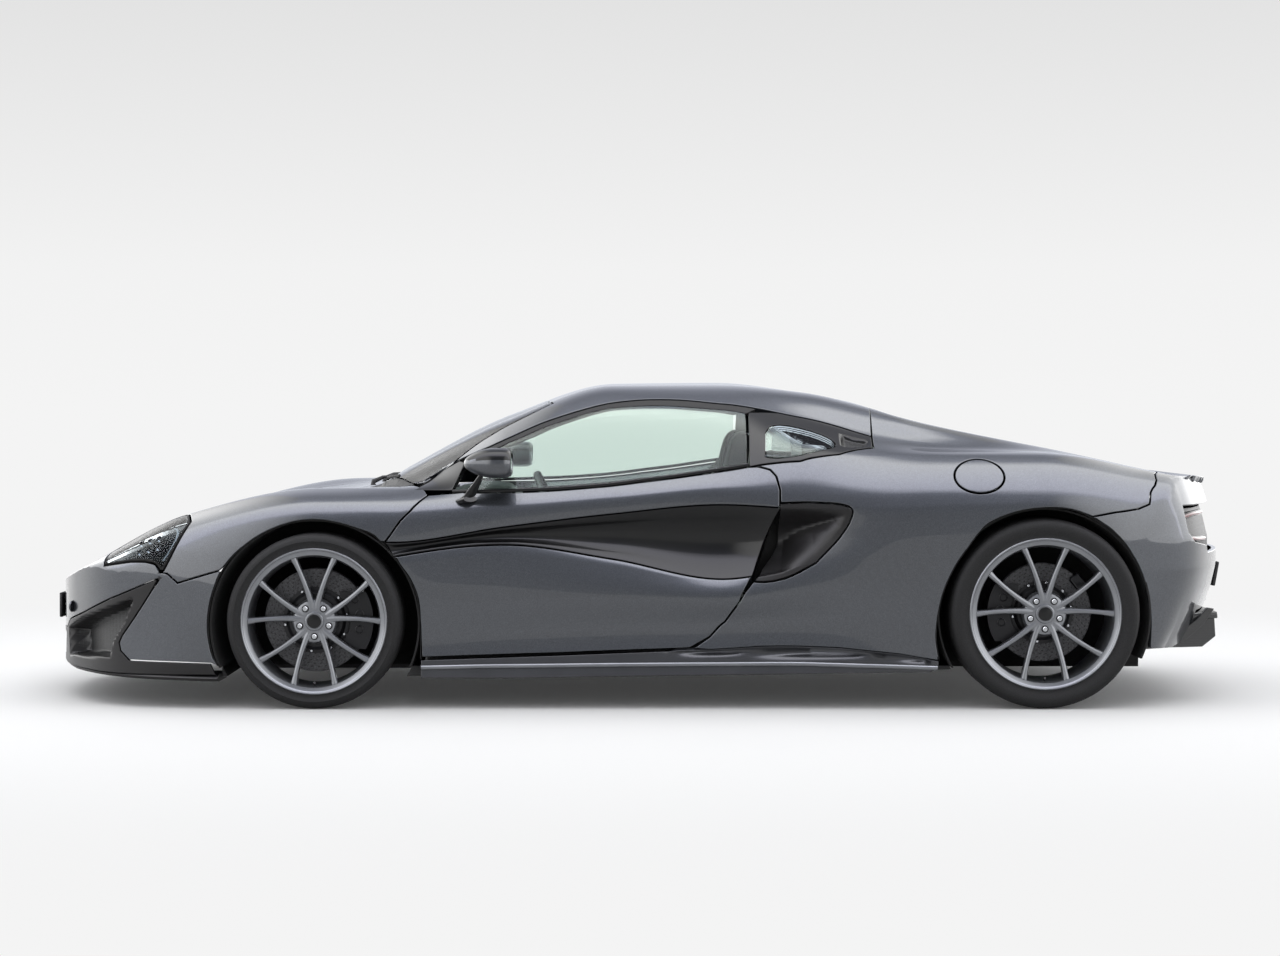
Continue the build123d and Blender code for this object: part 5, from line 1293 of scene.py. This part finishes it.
def caliper(axle):
    """Six-piston body: a bridged block over the disc's edge with a stepped, ribbed face."""
    y, z = AXLE[axle]
    x, r = DISC[axle]
    start, lean, span = (0, 8, 62) if axle == "front" else (180, -4, 54)
    profile = [(-46, r - 66), (-46, r + 8), (-38, r + 20), (26, r + 20), (40, r + 12), (46, r - 4), (46, r - 50),
        (38, r - 62), (24, r - 66), (24, r - 4), (-24, r - 4), (-24, r - 66)]
    verts, steps = [], 13
    for i in range(steps):
        t = i / (steps - 1) * 2 - 1
        swell = 1 - 0.10 * abs(t) ** 3
        for out, rr in profile:
            # every fourth row stands full, and the rows between are drawn in as ribs
            out = out if out < 30 else 30 + (out - 30) * (1.0 if i % 4 else 0.7) * swell
            verts.append(spun(x + out, rr if rr < r else r + (rr - r) * swell, start + t * span / 2 + lean, (y, z)))
    parts = [cleaned(lofted(f"{axle}_caliper", verts, grid_faces(steps, len(profile)), [CALIPER_BLACK], sharp=30))]
    for t in (-0.32, 0.0, 0.32):
        angle = start + t * span + lean
        at = spun(0, r - 26, angle, (y, z))
        parts.append(turned("piston_cap", CALIPER_BLACK, [(38, 17), (50, 16), (51, 13), (49, 11), (49, 0)],
            (x, at[1], at[2]), n=24, sharp=30))
        at = spun(0, r + 14, angle + 5, (y, z))
        parts.append(turned("bridge_bolt", BRIGHT_METAL, [(26, 6), (45, 5.5), (45, 0)],
            (x, at[1], at[2]), n=6, sharp=20))
    if axle == "rear":
        parts.append(block("parking_caliper", CALIPER_BLACK, tuple(spun(x, r - 8, 38, (y, z))), (70, 74, 44),
            turn=(-50, 0, 0), bevel=8))
    return joined(f"{axle}_caliper_body", *parts)


for axle in ("front", "rear"):
    for build, part in ((rim, "rim"), (tyre, "tyre"), (brake, "brake_disc")):
        left = build(axle, "left")
        right = mirrored(left, left.name.replace("left", "right"))
        wheel_slot = {"rim": "wheel_metal", "tyre": "tyre_rubber", "brake_disc": "brake_disc"}[part]
        place(left, f"{axle}_wheel_left", wheel_slot, f"{axle}_{part}_left")
        place(right, f"{axle}_wheel_right", wheel_slot, f"{axle}_{part}_right")
    body = caliper(axle)
    twin = mirrored(body, body.name + "_right")
    body.name = f"{axle}_caliper_body_left"
    place_pair((body, twin), "front_upright_{}" if axle == "front" else "root", "chassis_metal")


# --- arches, cabin and the parts kept from the frame -----------------------------------------------
def arch_band(name, arch, inner_x):
    """Black felt that closes a wheel arch from its lip inwards."""
    edge = surf([p[0] for p in arch], [p[1] for p in arch])
    line = through(edge, 2)
    verts, faces = [], []
    for p in line:
        verts += [p - (6, 0, 0), p - (40, 0, 0), (inner_x, p[1], p[2])]
    for i in range(len(line) - 1):
        faces += [(3 * i + k, 3 * i + k + 1, 3 * i + k + 4, 3 * i + k + 3) for k in (0, 1)]
    verts += [(inner_x, line[-1][1], 130), (inner_x, line[0][1], 130)]
    faces.append(tuple(3 * i + 2 for i in range(len(line))) + (len(verts) - 2, len(verts) - 1))
    made = lofted(name, verts, faces, [FELT], sharp=60)
    thick = made.modifiers.new("wall", "SOLIDIFY")
    thick.thickness, thick.offset = 0.003, 0.0
    select_only(made)
    bpy.ops.object.modifier_apply(modifier=thick.name)
    return made


for arch, tag, inner_x in ((ARCH_FRONT, "front", 548), (ARCH_REAR, "rear", 646)):
    band = arch_band(f"{tag}_arch_felt_left", arch, inner_x)
    place_pair((band, mirrored(band, f"{tag}_arch_felt_right")), "root", "black_trim")

SEAT_X = 370


VOXEL, SWELL_MOST, HELD_MM, FRAMES = 0.009, 0.016, 6, 10  # cushion net, greatest swelling, seam's width, run


def puffed(obj, *seams):
    """Fills a cushion: the cloth swells between its stitched seams, which are held."""
    select_only(obj)
    net = obj.modifiers.new("net", "REMESH")
    net.mode, net.voxel_size = "VOXEL", VOXEL
    bpy.ops.object.modifier_apply(modifier=net.name)
    held = obj.vertex_groups.new(name="seam")
    across = np.array([v.co.x for v in obj.data.vertices]) / MM
    off = np.min([np.abs(across - x) for x in seams], axis=0)
    held.add([int(i) for i in np.nonzero(off < HELD_MM)[0]], 1.0, "REPLACE")
    before = np.array([v.co[:] for v in obj.data.vertices])
    cloth = obj.modifiers.new("cloth", "CLOTH")
    cloth.settings.use_pressure = True
    cloth.settings.uniform_pressure_force = 4
    cloth.settings.effector_weights.gravity = 0
    cloth.settings.vertex_group_mass = "seam"
    cloth.settings.quality = 4
    scene = bpy.context.scene
    scene.frame_start, scene.frame_end = 1, FRAMES
    for frame_no in range(1, FRAMES + 1):
        scene.frame_set(frame_no)
    bpy.ops.object.modifier_apply(modifier=cloth.name)
    scene.frame_set(1)
    move = np.array([v.co[:] for v in obj.data.vertices]) - before
    move *= np.minimum(1, SWELL_MOST / np.maximum(np.linalg.norm(move, axis=1)[:, None], 1e-9))
    obj.data.vertices.foreach_set("co", (before + move).ravel())
    obj.data.update()
    soft = obj.modifiers.new("soft", "SMOOTH")
    soft.iterations = 3
    bpy.ops.object.modifier_apply(modifier=soft.name)
    bpy.ops.object.shade_smooth()
    return obj


def seat():
    """Bucket seat: a carbon shell, suede cushions with stitched flutes, bolsters and a headrest."""
    x = SEAT_X
    shell = slab("seat_shell", CARBON, [(-322, 196), (-325, 236), (120, 222), (165, 300), (392, 800), (420, 1006),
        (462, 1010), (466, 800), (250, 240), (190, 196)], x - 196, x + 196, bevel=10)
    base = slab("seat_base", SUEDE, [(-318, 236), (-326, 300), (-300, 328), (-60, 300), (96, 276), (140, 262),
        (130, 228)], x - 148, x + 148, bevel=12)
    back_pad = slab("seat_back", SUEDE, [(132, 268), (106, 300), (150, 440), (290, 780), (320, 806), (372, 800),
        (172, 300)], x - 140, x + 140, bevel=12)
    head = slab("seat_head", SUEDE, [(318, 820), (352, 990), (384, 1012), (420, 1004), (398, 820)], x - 108, x
        + 108, bevel=16)
    pads = [puffed(base, x - 148, x - 72, x, x + 72, x + 148), puffed(back_pad, x - 140, x - 66, x, x + 66, x
        + 140), puffed(head, x - 108, x + 108)]
    for sign in (-1, 1):
        low = slab("bolster_low", LEATHER, [(-300, 236), (-310, 330), (-250, 372), (40, 352), (128, 330),
            (150, 240)], x + sign * 152, x + sign * 208, bevel=14)
        high = slab("bolster_high", LEATHER, [(128, 300), (96, 360), (140, 520), (262, 800), (330, 850), (384, 840),
            (200, 320)], x + sign * 144, x + sign * 208, bevel=14)
        pads += [puffed(low, x + sign * 152, x + sign * 208), puffed(high, x + sign * 144, x + sign * 208)]
    strap = tube("seat_belt", SEAL, [(x + 150, 330, 880), (x + 120, 270, 820), (x + 60, 160, 600),
        (x - 60, 60, 400), (x - 140, 40, 320)], 3, n=8, squash=(8, 0.8))
    return joined("seat_bucket_left", shell, *pads, strap)


left_seat = seat()
for obj, tag in zip((left_seat, mirrored(left_seat, "seat_bucket_right")), SIDES):
    place(obj, "root", "seat_cover", f"seat_{tag}")


def dashboard():
    """Dashboard and centre console: leather hood, air vents, two dark displays and a gear panel."""
    parts = [
        slab("dash_top", LEATHER, [(-752, 575), (-752, 776), (-640, 794), (-545, 788), (-488, 742), (-500, 690),
                                   (-560, 640), (-600, 575)], -634, 634, bevel=10),
        slab("binnacle", LEATHER, [(-640, 760), (-620, 797), (-500, 796), (-478, 764), (-500, 740)],
            250, 490, bevel=8),
        block("cluster_glass", GLOSS_BLACK, (370, -492, 752), (200, 8, 62), turn=(-14, 0, 0), bevel=3),
        block("centre_display", GLOSS_BLACK, (0, -500, 640), (130, 10, 200), turn=(-16, 0, 0), bevel=6)]
    for x in (-560, -150, 150, 560):
        vent = turned("vent", SATIN_DARK, [(-14, 0), (-14, 20), (-12, 32), (0, 36), (4, 32), (0, 30), (-8, 28),
            (-10, 6), (0, 4), (0, 0)], n=32)
        parts.append(moved(vent, (x, -500, 722), math.pi / 2))
    parts += [
        slab("console", LEATHER, [(-600, 196), (-600, 560), (-500, 560), (-360, 470), (40, 440), (56, 196)],
             -104, 104, bevel=12),
        slab("console_top", CARBON, [(-470, 534), (-366, 462), (30, 446), (32, 452), (-362, 470), (-466, 542)],
             -74, 74, bevel=1.5)]
    parts += [block(f"gear_button_{k}", BRIGHT_METAL, (x, -250, 466), (24, 34, 8), turn=(-4, 0, 0), bevel=2)
              for k, x in enumerate((-36, 0, 36))]
    knob = turned("knob", BRIGHT_METAL, [(0, 18), (14, 17), (16, 14), (16, 0)], n=32)
    return joined("dashboard_trimmed", *parts, moved(knob, (0, -160, 462), -math.pi / 2, "Y"))


place(dashboard(), "root", "black_trim", "dashboard")


def steering_wheel():
    """Flat-bottomed leather rim on three spokes with a padded boss, paddles and its column."""
    c = np.array((370, -330, 690.0))
    axis = np.array((0, 0.92, 0.39))
    axis /= np.linalg.norm(axis)
    right = np.array((1.0, 0, 0))
    up = np.cross(right, axis)
    up *= np.sign(up[2])
    ring = []
    for a in np.linspace(0, 2 * math.pi, 72, endpoint=False):
        r = 168 * (1 - 0.10 * max(0, -math.sin(a)) ** 6)
        ring.append(c + right * r * math.cos(a) + up * r * math.sin(a))
    parts = [tube("rim", LEATHER, ring, 15, n=14, closed=True, squash=(1.0, 0.9))]
    for a in (0.12, math.pi - 0.12, -math.pi / 2):
        d = right * math.cos(a) + up * math.sin(a)
        parts.append(tube("spoke", SATIN_DARK, [c + d * 40 - axis * 14, c + d * 90 - axis * 10, c
            + d * 130 - axis * 4, c + d * 156], [22, 16, 13, 14], n=12, squash=(1.0, 0.45)))
    boss = turned("boss", LEATHER, [(-26, 0), (-26, 50), (-14, 62), (4, 60), (14, 46), (18, 24), (19, 0)], n=40)
    column = turned("column", BLACK_PLASTIC, [(-300, 0), (-300, 22), (-40, 24), (-26, 40), (-26, 0)], n=32)
    turn = Matrix((Vector(axis), Vector(right), Vector(up))).transposed().to_4x4()
    for obj in (boss, column):
        obj.data.transform(Matrix.Translation(Vector(c) * MM) @ turn)
        parts.append(obj)
    for sign in (-1, 1):
        base = c + right * sign * 96 - axis * 26
        parts.append(tube("paddle", SATIN_DARK, [base - up * 20, base + up * 30, base + up * 60
            + right * sign * 20], [9, 12, 8], n=10, squash=(1.3, 0.3)))
    return cleaned(joined("steering_wheel_rim", *parts))


place(steering_wheel(), "steering_wheel", "black_trim", "steering_wheel")


def wiper(name, points, pivot):
    """Wiper arm and blade parked along the foot of the windscreen."""
    rows = [off_skin(plan(*p), 9) for p in points]
    foot, mid = off_skin(plan(*pivot), 0) + (0, 0, 4), (rows[0] + rows[-1]) / 2
    return joined(name, tube("blade", SEAL, rows, 5, n=8, squash=(0.8, 1.3)),
                  tube("arm", BLACK_PLASTIC, [foot, foot + (0, 0, 14), (foot + mid) / 2 + (0, 0, 16),
                                              mid + (0, 0, 5)], [12, 10, 7, 5], squash=(1, 0.6)))


place(wiper("wiper_left", [(60, -1003), (200, -990), (330, -972), (450, -945), (560, -905)], (330, -1030)),
    "root", "black_trim")
spare = wiper("wiper", [(520, -925), (400, -958), (250, -985), (100, -998), (-20, -1004)], (200, -1035))
place(mirrored(spare, "wiper_right"), "root", "black_trim")
bpy.data.objects.remove(spare)

# finishes of the pieces that keep their frame shapes
KEPT = {"passenger_tub": CARBON, "underfloor": BLACK_PLASTIC, "front_subframe": CAST_METAL,
    "rear_subframe": CAST_METAL, "engine": CAST_METAL, "wishbones": CALIPER_BLACK, "wheel_liners": FELT,
    "front_knuckle_left": CALIPER_BLACK, "front_knuckle_right": CALIPER_BLACK, "rear_knuckle_left": CALIPER_BLACK,
    "rear_knuckle_right": CALIPER_BLACK}
for name, finish in KEPT.items():
    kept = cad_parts[name]
    kept.data.materials.clear()
    kept.data.materials.append(finish)

# --- camera and light -----------------------------------------------------------------------------
EYE, LOOK_DOWN = (10.95, 0.0, 1.10), 1.46  # straight out from the left side, tipped a little down
eye = bpy.data.objects.new("camera", bpy.data.cameras.new("camera"))
COLLECTION.objects.link(eye)
eye.location = EYE
eye.rotation_euler = (math.radians(90 - LOOK_DOWN), 0, math.radians(90))
eye.data.lens, eye.data.sensor_width = 77.3, 36
bpy.context.scene.camera = eye
bpy.context.scene.view_settings.view_transform = "Standard"

floor_mesh = bpy.data.meshes.new("floor")
FLOOR = 60  # half its width, in metres
floor_mesh.from_pydata([(-FLOOR, -FLOOR, 0), (FLOOR, -FLOOR, 0), (FLOOR, FLOOR, 0), (-FLOOR, FLOOR, 0)], [],
    [(0, 1, 2, 3)])
floor = bpy.data.objects.new("floor", floor_mesh)
COLLECTION.objects.link(floor)
# painted studio floor that fades into the backdrop away from the car
ground, tree, shader = material("studio_floor_painted", Base_Color=shade("#F6F6F5"), Roughness=0.75)
spread = node(tree, "ShaderNodeMapping", Vector=own_place(tree), Scale=(1.0, 0.62, 1.0)).outputs[0]
far = node(tree, "ShaderNodeVectorMath", {"operation": "LENGTH"}, _0=spread).outputs["Value"]
surfaced(tree, smooth_range(tree, far, 1.4, 5.5, 0.04, 1.0), shader, node(tree, "ShaderNodeEmission",
    Color=shade("#F4F4F4"), Strength=1.0))
floor_mesh.materials.append(ground)

lamp = bpy.data.lights.new("overhead", "AREA")
lamp.shape, lamp.size, lamp.size_y, lamp.energy = "RECTANGLE", 5.0, 10.0, 160
overhead = bpy.data.objects.new("overhead", lamp)
overhead.location, overhead.visible_glossy = (0, 0, 5.0), False
COLLECTION.objects.link(overhead)

world = bpy.data.worlds.new("studio")
bpy.context.scene.world = world
world.use_nodes = True
sky = world.node_tree
sky.nodes.clear()
rays = node(sky, "ShaderNodeLightPath").outputs
look = node(sky, "ShaderNodeSeparateXYZ", _0=own_place(sky, "Generated")).outputs
backdrop = ramp(sky, look[2], (0.0, "#F4F4F4"), (0.05, "#F2F2F2"), (0.15, "#E2E2E2"))
# what the lacquer mirrors: a broad soft ceiling light on the left, a dim room behind the viewer
arc = sums(sky, "MULTIPLY", sums(sky, "ARCTAN2", look[2], look[0]), 1 / math.pi)
room = ramp(sky, arc, (0.0, "#5C5D5F"), (1.0, "#6E7074"), (0.08, "#505257"), (0.25, "#5A5C64"), (0.31, "#F2F2FF"),
    (0.53, "#FFFFFF"), (0.59, "#7C7E88"), (0.68, "#62646C"), (0.80, "#6E7078"))
ends = smooth_range(sky, sums(sky, "ABSOLUTE", look[1]), 0.08, 0.5, 0.0, 0.62)
mirrored_room = node(sky, "ShaderNodeVectorMath", {"operation": "MAXIMUM"}, _0=room, _1=ends).outputs[0]
back, gloss, soft = (
    node(sky, "ShaderNodeBackground", Color=colour, Strength=power).outputs[0]
    for colour, power in ((backdrop, 1.0), (mirrored_room, 5.0), (shade("#E6E7EA"), 0.88)))
unseen = node(sky, "ShaderNodeMixShader", _0=rays["Is Glossy Ray"], _1=soft, _2=gloss).outputs[0]
seen = sums(sky, "MAXIMUM", rays["Is Camera Ray"], rays["Is Transmission Ray"])
mixed = node(sky, "ShaderNodeMixShader", _0=seen, _1=unseen, _2=back).outputs[0]
node(sky, "ShaderNodeOutputWorld", Surface=mixed)
